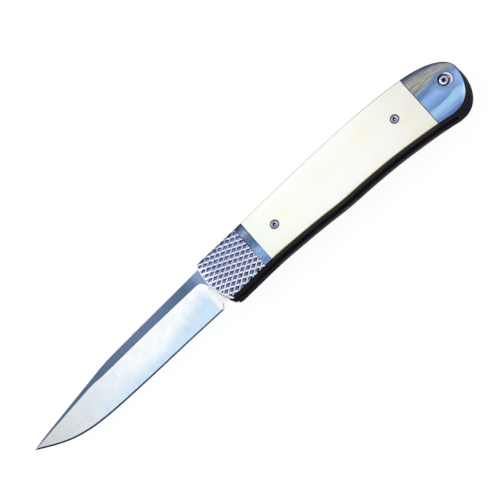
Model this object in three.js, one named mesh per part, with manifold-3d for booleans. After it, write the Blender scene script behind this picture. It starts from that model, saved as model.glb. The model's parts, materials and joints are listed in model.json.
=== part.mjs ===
// Folding pocket knife with a sliding release bolster, shown open and lying on its back face.
// Millimetres. While the knife is modelled, the blade's pivot is at x = 0, y = 0 and the middle of the
// blade is z = 0. +X runs from the pivot to the butt, +Y to the spine and +Z out of the front face.
// At the end the knife is moved so that the origin is below the middle of it, on the surface it lies on.
import * as THREE from 'three';
import { mergeVertices } from 'three/addons/utils/BufferGeometryUtils.js';
import Module from 'manifold-3d';

const wasm = await Module();
wasm.setup();

// Blade. Lengths are from the pivot, and the profiles are [share of the cutting length, height].
const bladeReach = 85;
const bladeThickness = 2.6;
const heelReach = 9.85;
const edgeDrop = 6.05;
const edgeBevel = 0.45;
const edgeHalfThickness = 0.03;
const bevelHalfThickness = 0.26;
const tipHalfThickness = 0.14;
const taperStart = 0.6;
const spineProfile = [[0, 9.48], [0.43, 8.13], [0.54, 7.56], [0.632, 6.55], [0.8, 4.74], [0.93, 3.27],
  [1, 2.12]];
const grindProfile = [[0, 5.81], [0.3, 5.38], [0.56, 4.75], [0.63, 4.86], [0.72, 4.25], [0.86, 3.15], [1, 2]];
const bellyProfile = [[0, 0.03], [0.2, -0.02], [0.4, -0.22], [0.6, -0.2], [0.7, 0.12], [0.77, 0.78],
  [0.845, 2.2], [0.92, 4.65], [1, 7.98]];

// Tang, which the pivot, the stop pin and the lock work on.
const tangDrop = 4.95;
const tangRadius = 7.4;
const shoulderTop = 8.3;
const choilLength = 1.7;

// Layers, from the middle of the blade outwards.
const washerThickness = 0.2;
const runningGap = 0.05;
const linerThickness = 1.4;
const coverThickness = 3.25;
const crownDrop = 0.85;
const crownWidth = 5;
const edgeRadius = 0.6;

// Handle plan. Heights are above and depths below the pivot.
const frontReach = 7.95;
const frontCentreHeight = 3.4;
const frontRadius = 18;
const frontSpineHeight = 9.8;
const frontBellyDepth = 6.7;
const spineCorner = 1.2;
const bellyCorner = 2.2;
const releaseBolsterEnd = 10;
const collarLength = 2.6;
const seam = 0.2;
const capBeforeTip = 3.7;
const buttPastTip = 12.5;
const buttHeight = 0.1;
const heelCornerPastTip = 1.75;
const heelCornerDepth = 11.5;
const spineHeights = [10.1, 10.47, 10.72, 10.9, 10.8, 10.4];
const bellyDepths = [6.25, 6.5, 7.0, 7.72, 7.9, 8.35, 9.25];
const capSpineHeight = 9.4;
const capBellyDepth = 10.5;

// Pulls of the butt's two curves, from the heel corner to the butt and from the butt to the spine.
const heelPull = { beforeButt: 3, deeper: 0.9 };
const buttBellyPull = 5.3;
const buttSpinePull = 3.1;
const capPull = { beforeButt: 3.7, drop: 1.8 };

// Pivot, stop and washers.
const pivotRadius = 2.5;
const pivotHeadRadius = 3.2;
const pivotHeadThickness = 0.9;
const pivotScrewRadius = 1.35;
const pivotScrewHeadRadius = 3.3;
const pivotScrewHeadThickness = 1.1;
const pivotWeb = 0.5;
const stopPinRadius = 1.5;
const stopPinGap = 0.4;
const washerRim = 1.2;
const backWasherRim = 1.5;
const fit = 0.1;

// Opening spring, a torsion spring round the pivot, between the tang and the back bolster.
const springWire = 0.7;
const springCoilRadius = 3.9;
const springTurns = 1.6;
const springPocketRadius = 4.8;
const springLegLength = 5.4;
const springBend = 0.7;
const springTailDepth = 0.8;

// Lock: a leaf spring with a stud that drops into the tang. The sliding bolster's ramps lift it.
const leafThickness = 0.7;
const leafWidth = 2.6;
const leafY = -2.2;
const leafRise = 0.35;
const leafEnd = 41;
const leafScrewX = 38.5;
const lockStudX = 4.7;
const lockStudRadius = 1;
const lockDepth = 0.9;
const lockHoleRadius = 1.15;
const earWidth = 5;
const earStart = 6.9;
const earEnd = 8.3;
const leafSideGap = 0.3;
const joggleFromScaleStart = 2;
const joggleLength = 3;
const releaseTravel = 1.6;
const rampWidth = 1.1;
const rampLap = 0.2;
const rampInset = 0.3;

// Screws, pins and studs.
const frontScrewFromScaleStart = 7.9;
const frontScrewY = 1.7;
const rearScrewFromScaleEnd = 9.3;
const rearScrewY = 0.55;
const scaleScrewHeadRadius = 1.35;
const scaleCounterbore = 1.65;
const scaleScrewRadius = 0.9;
const capScrewHeadRadius = 1.65;
const capCounterbore = 2.2;
const capScrewRadius = 1.1;
const capScrewFromButt = 5.8;
const capScrewY = -0.9;
const headThickness = 1.1;
const headRecess = 0.25;
const hiddenScrewRadius = 0.65;
const hiddenHeadRadius = 1.2;
const hiddenHeadThickness = 0.6;
const guideRadius = 0.75;
const guideHeadRadius = 1.4;
const guideInset = 3.4;
const rearGuideFromEnd = 3;
const rearGuideY = 2.6;
const collarScrewSpineInset = 6.2;
const collarScrewBellyInset = 1.95;
const bolsterScrewFromFront = 4.55;
const bolsterScrewSpineInset = 3.2;
const bolsterScrewFromEnd = 2;
const bolsterScrewBellyInset = 2.7;
const pinRadius = 0.8;
const capPinFromCapStart = 3.2;
const capPinBellyInset = 3.9;
const capPinSpineInset = 4.2;
const spacerClearance = 0.7;
const tipClearance = 2;
const spacerRunOut = 27;
const spacerFrontLap = 1.3;
const endBlockBend = 3;
const spacerPinFromScaleStart = 17;
const spacerPinFromScaleEnd = 21.1;
const spacerPinY = 9;

// Places worked out from the sizes above.
const tangTop = bladeThickness / 2;
const slotHalf = tangTop + runningGap + washerThickness;
const linerOut = slotHalf + linerThickness;
const face = linerOut + coverThickness;
const heelX = -heelReach;
const collarStart = releaseBolsterEnd + seam;
const scaleStart = collarStart + collarLength + seam;
const capStart = bladeReach - capBeforeTip;
const scaleEnd = capStart - seam;
const buttX = bladeReach + buttPastTip;
const capScrewX = buttX - capScrewFromButt;
const spacerUnderside = edgeDrop + spacerClearance;
const endBlockX = bladeReach + tipClearance;
const stopPinY = tangDrop + stopPinRadius + fit;
const stopPinX = Math.sqrt((tangRadius + stopPinRadius + stopPinGap) ** 2 - stopPinY ** 2);
const shoulderX = stopPinX - stopPinRadius - fit;
const scaleScrews = [
  [scaleStart + frontScrewFromScaleStart, frontScrewY],
  [scaleEnd - rearScrewFromScaleEnd, rearScrewY],
];

const curveSteps = 7;

// Closed geometry to a solid that can be joined and cut, and back.
function toSolid(geometry) {
  const loose = geometry.index ? geometry.toNonIndexed() : geometry;
  const bare = new THREE.BufferGeometry();
  bare.setAttribute('position', loose.getAttribute('position'));
  const merged = mergeVertices(bare, 1e-4);
  return new wasm.Manifold(new wasm.Mesh({
    numProp: 3,
    vertProperties: new Float32Array(merged.attributes.position.array),
    triVerts: new Uint32Array(merged.index.array),
  }));
}

function toGeometry(solid) {
  const mesh = solid.getMesh();
  const geometry = new THREE.BufferGeometry();
  geometry.setAttribute('position', new THREE.BufferAttribute(new Float32Array(mesh.vertProperties), 3));
  geometry.setIndex(new THREE.BufferAttribute(new Uint32Array(mesh.triVerts), 1));
  geometry.computeVertexNormals();
  return geometry;
}

const join = (...solids) => solids.reduce((a, b) => a.add(b));
const cut = (solid, ...tools) => tools.reduce((a, b) => a.subtract(b), solid);

// A flat outline extruded between two heights, on the front side (+1) or mirrored to the back (-1).
function plate(shape, low, high, side = 1, curveSegments = 5) {
  const options = { depth: high - low, bevelEnabled: false, curveSegments };
  const geometry = new THREE.ExtrudeGeometry(shape, options);
  geometry.translate(0, 0, side > 0 ? low : -high);
  return toSolid(geometry);
}

function circle(x, y, radius) {
  return new THREE.Shape().absarc(x, y, radius, 0, Math.PI * 2);
}

const rod = (x, y, radius, low, high, side = 1) =>
  plate(circle(x, y, radius), low, high, side, Math.min(13, Math.round(5 + 1.8 * radius)));

function rectangle(x0, x1, y0, y1) {
  return new THREE.Shape([[x0, y0], [x1, y0], [x1, y1], [x0, y1]].map(([x, y]) => new THREE.Vector2(x, y)));
}

// A round-ended slot along X, for what slides with the bolster.
function slot(x, y, radius, travel) {
  const shape = new THREE.Shape();
  shape.absarc(x, y, radius, -Math.PI / 2, Math.PI / 2);
  shape.absarc(x - travel, y, radius, Math.PI / 2, Math.PI * 1.5);
  return shape;
}

// A side outline [x, z] extruded across the knife.
function bar(points, y0, y1) {
  const shape = new THREE.Shape(points.map(([x, z]) => new THREE.Vector2(x, z)));
  const geometry = new THREE.ExtrudeGeometry(shape, { depth: y1 - y0, bevelEnabled: false });
  geometry.rotateX(Math.PI / 2);
  geometry.translate(0, y1, 0);
  return toSolid(geometry);
}

// Six-lobed key recess.
function lobedRecess(x, y, radius) {
  const points = [];
  const steps = 24;
  for (let i = 0; i < steps; i += 1) {
    const angle = (i / steps) * Math.PI * 2;
    const reach = radius * (0.86 + 0.14 * Math.cos(6 * angle));
    points.push(new THREE.Vector2(x + reach * Math.cos(angle), y + reach * Math.sin(angle)));
  }
  return new THREE.Shape(points);
}

// Handle plan, one closed outline that every liner and cover follows.
function makeHandleOutline() {
  const point = (x, y) => new THREE.Vector2(x, y);
  const along = (share) => scaleStart + share * (capStart - scaleStart);
  const spread = (heights, sign) => heights.map((h, i) => point(along(i / heights.length), sign * h));
  const arcCentreX = frontRadius - frontReach;
  const arcX = (y) => arcCentreX - Math.sqrt(frontRadius ** 2 - (y - frontCentreHeight) ** 2);
  const topCornerY = frontSpineHeight - spineCorner;
  const lowCornerY = -frontBellyDepth + bellyCorner / 2;
  const lowX = arcX(-frontBellyDepth);
  const topX = arcX(frontSpineHeight);
  const shape = new THREE.Shape();
  shape.moveTo(lowX + bellyCorner, -frontBellyDepth);
  shape.splineThru([
    ...spread(bellyDepths, -1),
    point(capStart, -capBellyDepth),
    point(bladeReach + heelCornerPastTip, -heelCornerDepth),
  ]);
  shape.bezierCurveTo(buttX - heelPull.beforeButt, -heelCornerDepth - heelPull.deeper,
    buttX, buttHeight - buttBellyPull, buttX, buttHeight);
  shape.bezierCurveTo(buttX, buttHeight + buttSpinePull,
    buttX - capPull.beforeButt, capSpineHeight - capPull.drop, capStart, capSpineHeight);
  shape.splineThru([
    ...spread(spineHeights, 1).reverse(),
    point(topX + spineCorner, frontSpineHeight),
  ]);
  shape.quadraticCurveTo(topX, frontSpineHeight, arcX(topCornerY), topCornerY);
  const angleAt = (y) => Math.PI - Math.asin((y - frontCentreHeight) / frontRadius);
  shape.absarc(arcCentreX, frontCentreHeight, frontRadius, angleAt(topCornerY), angleAt(lowCornerY), false);
  shape.quadraticCurveTo(lowX, -frontBellyDepth, lowX + bellyCorner, -frontBellyDepth);
  const steps = (curve) => (curve.isSplineCurve ? 2 * curve.points.length : curveSteps);
  const points = shape.curves.flatMap((curve) => curve.getPoints(steps(curve)));
  return points.filter((p, i) => p.distanceTo(points[(i + 1) % points.length]) > 0.01);
}

const outline = makeHandleOutline();
const outlineShape = () => new THREE.Shape(outline);
const edges = outline.map((p, i) => [p, outline[(i + 1) % outline.length]]);

// The covers begin and end just inside the outline's foremost and rearmost points.
const coverTrim = 0.02;
const coverFront = Math.min(...outline.map((p) => p.x)) + coverTrim;
const coverButt = Math.max(...outline.map((p) => p.x)) - coverTrim;

// Lowest and highest y of the handle at one x.
function spanAt(x) {
  const hits = [];
  for (const [a, b] of edges) {
    if ((a.x - x) * (b.x - x) > 0 || a.x === b.x) continue;
    hits.push(a.y + ((b.y - a.y) * (x - a.x)) / (b.x - a.x));
  }
  return [Math.min(...hits), Math.max(...hits)];
}

function distanceToEdge(x, y) {
  let least = Infinity;
  for (const [a, b] of edges) {
    const along = ((x - a.x) * (b.x - a.x) + (y - a.y) * (b.y - a.y)) / a.distanceToSquared(b);
    const t = Math.min(1, Math.max(0, along));
    least = Math.min(least, Math.hypot(x - a.x - t * (b.x - a.x), y - a.y - t * (b.y - a.y)));
  }
  return least;
}

// How far a cover's face has fallen at a distance from the handle's edge: a soft crown and a rounded rim.
function faceDrop(distance) {
  const crown = distance < crownWidth ? crownDrop * (1 - distance / crownWidth) ** 2 : 0;
  const inRim = Math.min(distance, edgeRadius);
  const rim = edgeRadius - Math.sqrt(edgeRadius ** 2 - (edgeRadius - inRim) ** 2);
  return crown + rim;
}

const acrossShares = [0, 0.02, 0.055, 0.13, 0.24, 0.4, 0.64, 1];
const across = [...acrossShares, ...acrossShares.slice(0, -1).reverse().map((s) => 2 - s)];

// One cover of the handle between two x stations: flat where it meets the liner, crowned outside.
// A rounded end has its stations drawn together towards that end.
function crownedCover(from, to, steps, side, rounded = 'none') {
  const place = {
    none: (s) => from + (to - from) * s,
    front: (s) => from + (to - from) * (1 - Math.cos((s * Math.PI) / 2)),
    butt: (s) => from + (to - from) * Math.sin((s * Math.PI) / 2),
  }[rounded];
  const rows = [];
  for (let i = 0; i <= steps; i += 1) {
    const x = place(i / steps);
    const [low, high] = spanAt(x);
    rows.push(across.map((share) => {
      const y = low + (share * (high - low)) / 2;
      return [x, y, face - faceDrop(distanceToEdge(x, y))];
    }));
  }
  const positions = [];
  const triangle = (a, b, c) => {
    const corners = side > 0 ? [a, b, c] : [a, c, b];
    corners.forEach(([x, y, z]) => positions.push(x, y, z * side));
  };
  const quad = (a, b, c, d) => {
    triangle(a, b, c);
    triangle(a, c, d);
  };
  const seat = ([x, y]) => [x, y, linerOut];
  const last = across.length - 1;
  for (let i = 0; i < steps; i += 1) {
    const [row, next] = [rows[i], rows[i + 1]];
    for (let j = 0; j < last; j += 1) quad(row[j], next[j], next[j + 1], row[j + 1]);
    quad(seat(row[0]), seat(next[0]), next[0], row[0]);
    quad(row[last], next[last], seat(next[last]), seat(row[last]));
    quad(seat(row[0]), seat(row[last]), seat(next[last]), seat(next[0]));
  }
  const [first, final] = [rows[0], rows[steps]];
  for (let j = 0; j < last; j += 1) {
    triangle(seat(first[0]), first[j], first[j + 1]);
    triangle(seat(final[0]), final[j + 1], final[j]);
  }
  triangle(seat(first[0]), first[last], seat(first[last]));
  triangle(seat(final[0]), seat(final[last]), final[last]);
  const geometry = new THREE.BufferGeometry();
  geometry.setAttribute('position', new THREE.Float32BufferAttribute(positions, 3));
  return toSolid(geometry);
}

// Height along a smooth profile of [share of the cutting length, height] points.
function profileHeight(points, share) {
  const samples = new THREE.SplineCurve(points.map(([s, y]) => new THREE.Vector2(s, y))).getPoints(120);
  const next = samples.findIndex((p) => p.x >= share);
  if (next <= 0) return samples[Math.max(0, next)].y;
  const [a, b] = [samples[next - 1], samples[next]];
  return a.y + ((b.y - a.y) * (share - a.x)) / (b.x - a.x);
}

// One cross-section of the ground blade, as half-thickness at four heights from spine to edge.
function groundSection(share) {
  const top = profileHeight(spineProfile, share);
  const bottom = profileHeight(bellyProfile, share) - edgeDrop;
  const depth = top - bottom;
  const grind = Math.min(profileHeight(grindProfile, share), top - depth * 0.04);
  const bevel = bottom + Math.min(edgeBevel, depth * 0.3);
  const taper = Math.max(0, share - taperStart) / (1 - taperStart);
  const flat = THREE.MathUtils.lerp(tangTop, tipHalfThickness, taper);
  const low = THREE.MathUtils.lerp(bevelHalfThickness, tipHalfThickness * 0.6, taper);
  return { x: heelX - share * (bladeReach - heelReach), heights: [top, grind, bevel, bottom],
    halves: [flat, flat, low, edgeHalfThickness] };
}

// One cross-section of the plunge, where the grind runs out into the full thickness of the tang.
function plungeSection(share) {
  const start = groundSection(0);
  const bottom = THREE.MathUtils.lerp(-edgeDrop, -tangDrop, THREE.MathUtils.smoothstep(share, 0.1, 0.95));
  const grind = THREE.MathUtils.lerp(start.heights[1], bottom + 2, share ** 1.5);
  const fill = (half) => THREE.MathUtils.lerp(half, tangTop, THREE.MathUtils.smoothstep(share, 0, 1));
  return { x: heelX + share * choilLength, heights: [tangSpine(heelX + share * choilLength), grind,
    bottom + edgeBevel, bottom], halves: start.halves.map(fill) };
}

function tangSpine(x) {
  const start = spineProfile[0][1];
  const slope = (start - spineProfile[1][1]) / (spineProfile[1][0] * (bladeReach - heelReach));
  const level = start + slope * (x - heelX);
  const roundStart = shoulderX - 3;
  if (x <= roundStart) return level;
  const share = (x - roundStart) / (shoulderX - roundStart);
  return THREE.MathUtils.lerp(level, shoulderTop, 1 - Math.sqrt(Math.max(0, 1 - share ** 2)));
}

function tangSection(x) {
  const arc = x > 0 ? Math.sqrt(tangRadius ** 2 - x ** 2) : tangRadius;
  const top = x <= shoulderX ? tangSpine(x) : arc;
  const bottom = -Math.min(tangDrop, arc);
  const depth = top - bottom;
  return {
    x,
    heights: [top, top - depth * 0.35, bottom + depth * 0.1, bottom],
    halves: Array(4).fill(tangTop),
  };
}

// Blade and tang lofted through their sections, then bored for the pivot, the lock and the spring's tail.
function makeBlade() {
  const sections = [];
  const bladeSteps = 34;
  for (let i = bladeSteps; i > 0; i -= 1) sections.push(groundSection(1 - (1 - i / bladeSteps) ** 1.25));
  for (let i = 0; i <= 6; i += 1) sections.push(plungeSection(i / 6));
  const tangStart = heelX + choilLength;
  const roundStart = shoulderX - 3;
  for (let i = 1; i <= 6; i += 1) {
    sections.push(tangSection(THREE.MathUtils.lerp(tangStart, roundStart, i / 6)));
  }
  for (let i = 1; i <= 4; i += 1) sections.push(tangSection(roundStart + (3 * i) / 4));
  const roundSteps = 8;
  for (let i = 0; i <= roundSteps; i += 1) {
    const reach = Math.sin((i / roundSteps) * (Math.PI / 2));
    sections.push(tangSection(shoulderX + 0.02 + (tangRadius - shoulderX - 0.04) * reach));
  }
  const loops = sections.map(({ x, heights, halves }) => [
    ...heights.map((y, i) => [x, y, halves[i]]),
    ...heights.map((y, i) => [x, y, -halves[i]]).reverse(),
  ]);
  const positions = [];
  const triangle = (a, b, c) => positions.push(...a, ...b, ...c);
  const count = loops[0].length;
  for (let i = 0; i < loops.length - 1; i += 1) {
    for (let j = 0; j < count; j += 1) {
      const k = (j + 1) % count;
      triangle(loops[i][j], loops[i][k], loops[i + 1][k]);
      triangle(loops[i][j], loops[i + 1][k], loops[i + 1][j]);
    }
  }
  const closeEnd = (loop, flip) => {
    for (let j = 0; j < count / 2 - 1; j += 1) {
      const [a, b, c, d] = [loop[j], loop[j + 1], loop[count - 2 - j], loop[count - 1 - j]];
      [[a, c, b], [a, d, c]].forEach(([p, q, r]) => (flip ? triangle(p, r, q) : triangle(p, q, r)));
    }
  };
  closeEnd(loops[0], false);
  closeEnd(loops[loops.length - 1], true);
  const geometry = new THREE.BufferGeometry();
  geometry.setAttribute('position', new THREE.Float32BufferAttribute(positions, 3));
  const lockFloor = tangTop - lockDepth - fit;
  const tail = springTail();
  return cut(
    toSolid(geometry),
    rod(0, 0, pivotRadius + fit, -slotHalf, slotHalf),
    rod(lockStudX, leafY, lockHoleRadius, lockFloor, slotHalf),
    rod(-lockStudX, -leafY, lockHoleRadius, lockFloor, slotHalf),
    rod(tail.x, tail.y, springWire / 2 + 0.2, -slotHalf, -tangTop + springTailDepth + 2 * fit),
  );
}

// Torsion spring: a straight leg, the coil round the pivot, and a tail turned up into the tang.
const springFloor = face - pivotScrewHeadThickness - headRecess - runningGap - pivotWeb;
const springBottom = -springFloor + springWire / 2 + fit;
const springTop = -slotHalf - springWire / 2 - fit;

function springCoil(turn) {
  const angle = Math.PI / 2 + turn * Math.PI * 2;
  const z = THREE.MathUtils.lerp(springBottom, springTop, turn / springTurns);
  return new THREE.Vector3(springCoilRadius * Math.cos(angle), springCoilRadius * Math.sin(angle), z);
}

function springTail() {
  const end = springCoil(springTurns);
  const forward = new THREE.Vector3(-end.y, end.x, 0).normalize();
  return end.clone().addScaledVector(forward, springBend);
}

// Least distance between the wire's surface and itself, over points more than a half turn apart.
function leastGapToItself(path) {
  const samples = path.getSpacedPoints(160);
  const halfTurn = Math.ceil((Math.PI * springCoilRadius) / (path.getLength() / 160));
  let least = Infinity;
  samples.forEach((p, i) => {
    samples.slice(i + halfTurn).forEach((q) => {
      least = Math.min(least, p.distanceTo(q) - springWire);
    });
  });
  return least;
}

function makeOpeningSpring() {
  const points = [];
  for (let i = 3; i > 0; i -= 1) {
    points.push(new THREE.Vector3((springLegLength * i) / 3, springCoilRadius, springBottom));
  }
  const coilSteps = Math.round(springTurns * 16);
  for (let i = 0; i <= coilSteps; i += 1) points.push(springCoil((springTurns * i) / coilSteps));
  const end = springCoil(springTurns);
  const tail = springTail();
  const bendShare = Math.SQRT1_2;
  points.push(end.clone().lerp(tail, bendShare).setZ(springTop + springBend * (1 - bendShare)));
  points.push(tail.clone().setZ(springTop + springBend));
  points.push(tail.clone().setZ(-tangTop + springTailDepth));
  const path = new THREE.CatmullRomCurve3(points, false, 'centripetal');
  console.log(`opening spring: least gap to itself ${leastGapToItself(path).toFixed(2)} mm`);
  const geometry = new THREE.ExtrudeGeometry(circle(0, 0, springWire / 2), {
    steps: 48, curveSegments: 3, extrudePath: path,
  });
  return toSolid(geometry);
}

// Leaf spring with its ears and lock stud, over the front liner.
const leafBottom = linerOut + leafRise;
const leafTop = leafBottom + leafThickness;
const leafLift = lockDepth + tangTopToLiner();
const pocketCeiling = leafTop + leafLift + fit;

function tangTopToLiner() {
  return slotHalf - tangTop;
}

function makeLockSpring() {
  const joggle = scaleStart + joggleFromScaleStart;
  const joggleFoot = joggle + joggleLength;
  const leaf = bar([
    [lockStudX - leafWidth / 2, leafBottom], [joggle, leafBottom], [joggleFoot, linerOut],
    [leafEnd, linerOut], [leafEnd, linerOut + leafThickness], [joggleFoot, linerOut + leafThickness],
    [joggle, leafTop], [lockStudX - leafWidth / 2, leafTop],
  ], leafY - leafWidth / 2, leafY + leafWidth / 2);
  const earPlan = rectangle(earStart, earEnd, leafY - earWidth / 2, leafY + earWidth / 2);
  const ears = plate(earPlan, leafBottom, leafTop);
  const stud = rod(lockStudX, leafY, lockStudRadius, tangTop - lockDepth, leafBottom + fit);
  const screwHole = rod(leafScrewX, leafY, hiddenScrewRadius + 2 * fit, linerOut - 1, leafTop);
  return cut(join(leaf, ears, stud), screwHole);
}

// Sliding bolster: pockets under it for the pivot's head and the leaf, and two ramps below the leaf's ears.
function makeReleaseBolster() {
  const body = crownedCover(coverFront, releaseBolsterEnd, 14, 1, 'front');
  const headRoom = pivotHeadThickness + 2 * fit;
  const wallY = earWidth / 2 + 2 * fit;
  const pocketStart = lockStudX - leafWidth / 2 - leafSideGap;
  const pocket = rectangle(pocketStart, releaseBolsterEnd + 1, leafY - wallY, leafY + wallY);
  const headSlot = slot(releaseTravel, 0, pivotHeadRadius + 2 * fit, releaseTravel);
  const hollow = cut(
    body,
    plate(headSlot, linerOut - 1, linerOut + headRoom),
    plate(pocket, linerOut - 1, pocketCeiling),
    ...guidePlaces.map((p) => blindHole(p, guideRadius, 1)),
  );
  const low = linerOut + runningGap;
  const rampLow = leafBottom - fit;
  const rampEnd = releaseBolsterEnd - rampInset;
  const rampStart = rampEnd - leafLift;
  const ramp = [[earStart - rampLap, low], [rampEnd, low], [rampEnd, rampLow + leafLift],
    [rampStart, rampLow], [earStart - rampLap, rampLow]];
  const ramps = [
    bar(ramp, leafY - wallY - rampLap, leafY - wallY + rampWidth),
    bar(ramp, leafY + wallY - rampWidth, leafY + wallY + rampLap),
  ];
  return join(hollow, ...ramps);
}

function makeGuideStud([x, y]) {
  const headLow = slotHalf + runningGap;
  return join(
    rod(x, y, guideHeadRadius, headLow, headLow + hiddenHeadThickness),
    rod(x, y, guideRadius, headLow, blindTop),
  );
}

function leafChannel(from, to, ceiling) {
  const reach = leafWidth / 2 + leafSideGap;
  return plate(rectangle(from, to, leafY - reach, leafY + reach), linerOut - 1, ceiling);
}

// Hidden screws go in from the liner's inner face, so a cover has only their blind holes.
const collarScrews = [frontSpineHeight - collarScrewSpineInset, collarScrewBellyInset - frontBellyDepth]
  .map((y) => [collarStart + collarLength / 2, y]);
const frontScrewX = bolsterScrewFromFront - frontReach;
const backBolsterScrews = [
  [frontScrewX, frontSpineHeight - bolsterScrewSpineInset],
  [releaseBolsterEnd - bolsterScrewFromEnd, bolsterScrewBellyInset - frontBellyDepth],
];
const guidePlaces = [
  [frontScrewX, frontSpineHeight - guideInset],
  [releaseBolsterEnd - rearGuideFromEnd, rearGuideY],
];
const capPins = [
  [capStart + capPinFromCapStart, capPinBellyInset - capBellyDepth],
  [capStart + capPinFromCapStart, capSpineHeight - capPinSpineInset],
];
const spacerPins = [
  [scaleStart + spacerPinFromScaleStart, spacerPinY],
  [scaleEnd - spacerPinFromScaleEnd, spacerPinY],
];
const blindTop = linerOut + 0.5 * coverThickness;
const blindHole = ([x, y], radius, side) => rod(x, y, radius + fit, linerOut - 1, blindTop + fit, side);

function makeCollar() {
  return cut(
    crownedCover(collarStart, collarStart + collarLength, 2, 1),
    leafChannel(collarStart - 1, scaleStart, pocketCeiling),
    ...collarScrews.map((p) => blindHole(p, hiddenScrewRadius, 1)),
  );
}

function screwWell([x, y], headRadius, shankRadius, side) {
  return join(
    rod(x, y, headRadius, face - headRecess - headThickness - fit, face + 1, side),
    rod(x, y, shankRadius + 1.5 * fit, linerOut - 1, face, side),
  );
}

function makeScale(side) {
  const body = crownedCover(scaleStart, scaleEnd, 24, side);
  const wells = scaleScrews.map((p) => screwWell(p, scaleCounterbore, scaleScrewRadius, side));
  if (side < 0) return cut(body, ...wells);
  const ceiling = leafTop + leafLift * 0.6;
  return cut(
    body,
    ...wells,
    leafChannel(scaleStart - 1, leafEnd + 0.4, ceiling),
    rod(leafScrewX, leafY, hiddenHeadRadius + 5 * fit, linerOut - 1, ceiling),
  );
}

function makeEndCap(side) {
  return cut(
    crownedCover(capStart, coverButt, 14, side, 'butt'),
    screwWell([capScrewX, capScrewY], capCounterbore, capScrewRadius, side),
    ...capPins.map((p) => blindHole(p, pinRadius, side)),
  );
}

// Back bolster: fixed, one piece with its smooth band, holding the pivot screw's head and the spring.
function makeBackBolster() {
  const well = face - pivotScrewHeadThickness - headRecess - runningGap;
  const legEnd = springLegLength + 0.5;
  const legSlot = rectangle(0, legEnd, springCoilRadius - springWire, springCoilRadius + springWire);
  return cut(
    crownedCover(coverFront, scaleStart - seam, 14, -1, 'front'),
    rod(0, 0, pivotScrewHeadRadius + 2 * fit, well, face + 1, -1),
    rod(0, 0, pivotRadius + fit, linerOut - 1, face, -1),
    rod(0, 0, springPocketRadius, linerOut - 1, well - pivotWeb, -1),
    plate(legSlot, linerOut - 1, well - pivotWeb, -1),
    ...backBolsterScrews.map((p) => blindHole(p, hiddenScrewRadius, -1)),
  );
}

// A countersunk seat on the inner face of a liner, for a hidden screw.
const hiddenSeat = ([x, y], side) => join(
  rod(x, y, hiddenHeadRadius + fit, slotHalf - 1, slotHalf + hiddenHeadThickness + 2 * fit, side),
  rod(x, y, hiddenScrewRadius + fit, slotHalf - 1, linerOut + 1, side),
);

function makeLiner(side) {
  const through = (x, y, radius) => rod(x, y, radius, slotHalf - 1, linerOut + 1, side);
  const shared = [
    through(stopPinX, stopPinY, stopPinRadius + fit),
    through(capScrewX, capScrewY, capScrewRadius + fit),
    ...scaleScrews.map(([x, y]) => through(x, y, scaleScrewRadius + fit)),
    ...capPins.map(([x, y]) => through(x, y, pinRadius + fit)),
    ...spacerPins.map(([x, y]) => through(x, y, pinRadius + fit)),
  ];
  const blank = plate(outlineShape(), slotHalf, linerOut, side);
  if (side < 0) {
    return cut(blank, ...shared, through(0, 0, springPocketRadius),
      ...backBolsterScrews.map((p) => hiddenSeat(p, side)));
  }
  const guideSlots = guidePlaces.map(([x, y]) => join(
    plate(slot(x, y, guideHeadRadius + fit, releaseTravel), slotHalf - 1,
      slotHalf + hiddenHeadThickness + 2 * fit),
    plate(slot(x, y, guideRadius + fit, releaseTravel), slotHalf - 1, linerOut + 1),
  ));
  return cut(blank, ...shared, through(0, 0, pivotRadius + fit), ...guideSlots,
    through(lockStudX, leafY, lockHoleRadius), through(leafScrewX, leafY, hiddenScrewRadius + fit),
    ...collarScrews.map((p) => hiddenSeat(p, side)));
}

// Spacer along the spine and round the butt, open where the folded blade lies.
function makeSpacer() {
  const far = 40;
  const front = Math.hypot(heelReach, edgeDrop) - spacerFrontLap;
  const well = new THREE.Shape();
  well.moveTo(-far, -far);
  well.lineTo(endBlockX, -far);
  well.lineTo(endBlockX, -endBlockBend);
  well.bezierCurveTo(endBlockX, spacerUnderside - endBlockBend, endBlockX - spacerRunOut / 2, spacerUnderside,
    endBlockX - spacerRunOut, spacerUnderside);
  well.lineTo(front, spacerUnderside);
  well.lineTo(front, far);
  well.lineTo(-far, far);
  const depth = slotHalf;
  return cut(
    plate(outlineShape(), -depth, depth),
    plate(well, -depth - 1, depth + 1, 1, 8),
    rod(capScrewX, capScrewY, capScrewRadius + fit, -depth - 1, depth + 1),
    ...spacerPins.map(([x, y]) => rod(x, y, pinRadius + fit, -depth - 1, depth + 1)),
  );
}

function makeWasher(inner, outer, side) {
  return cut(rod(0, 0, outer, slotHalf - washerThickness, slotHalf, side),
    rod(0, 0, inner, slotHalf - 1, slotHalf + 1, side));
}

function makePivotBarrel() {
  const end = -(face - pivotScrewHeadThickness - headRecess - 2 * runningGap - fit);
  return cut(
    join(
      rod(0, 0, pivotHeadRadius, linerOut, linerOut + pivotHeadThickness),
      rod(0, 0, pivotRadius, end, linerOut + fit),
    ),
    rod(0, 0, pivotScrewRadius + fit, end - 1, tangTop),
  );
}

// A headed screw with a lobed key recess. The head's outer face is at headFace and it points outwards.
function makeScrew([x, y], headRadius, shankRadius, headFace, thickness, tip, side) {
  return cut(
    join(rod(x, y, headRadius, headFace - thickness, headFace, side),
      rod(x, y, shankRadius, tip, headFace - thickness + fit, side)),
    plate(lobedRecess(x, y, headRadius * 0.55), headFace - thickness * 0.6, headFace + 1, side),
  );
}

const scaleScrew = (side) => (place) => makeScrew(place, scaleScrewHeadRadius, scaleScrewRadius,
  face - headRecess, headThickness, slotHalf + fit, side);

const capScrew = (side) => makeScrew([capScrewX, capScrewY], capScrewHeadRadius, capScrewRadius,
  face - headRecess, headThickness, fit, side);

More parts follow.
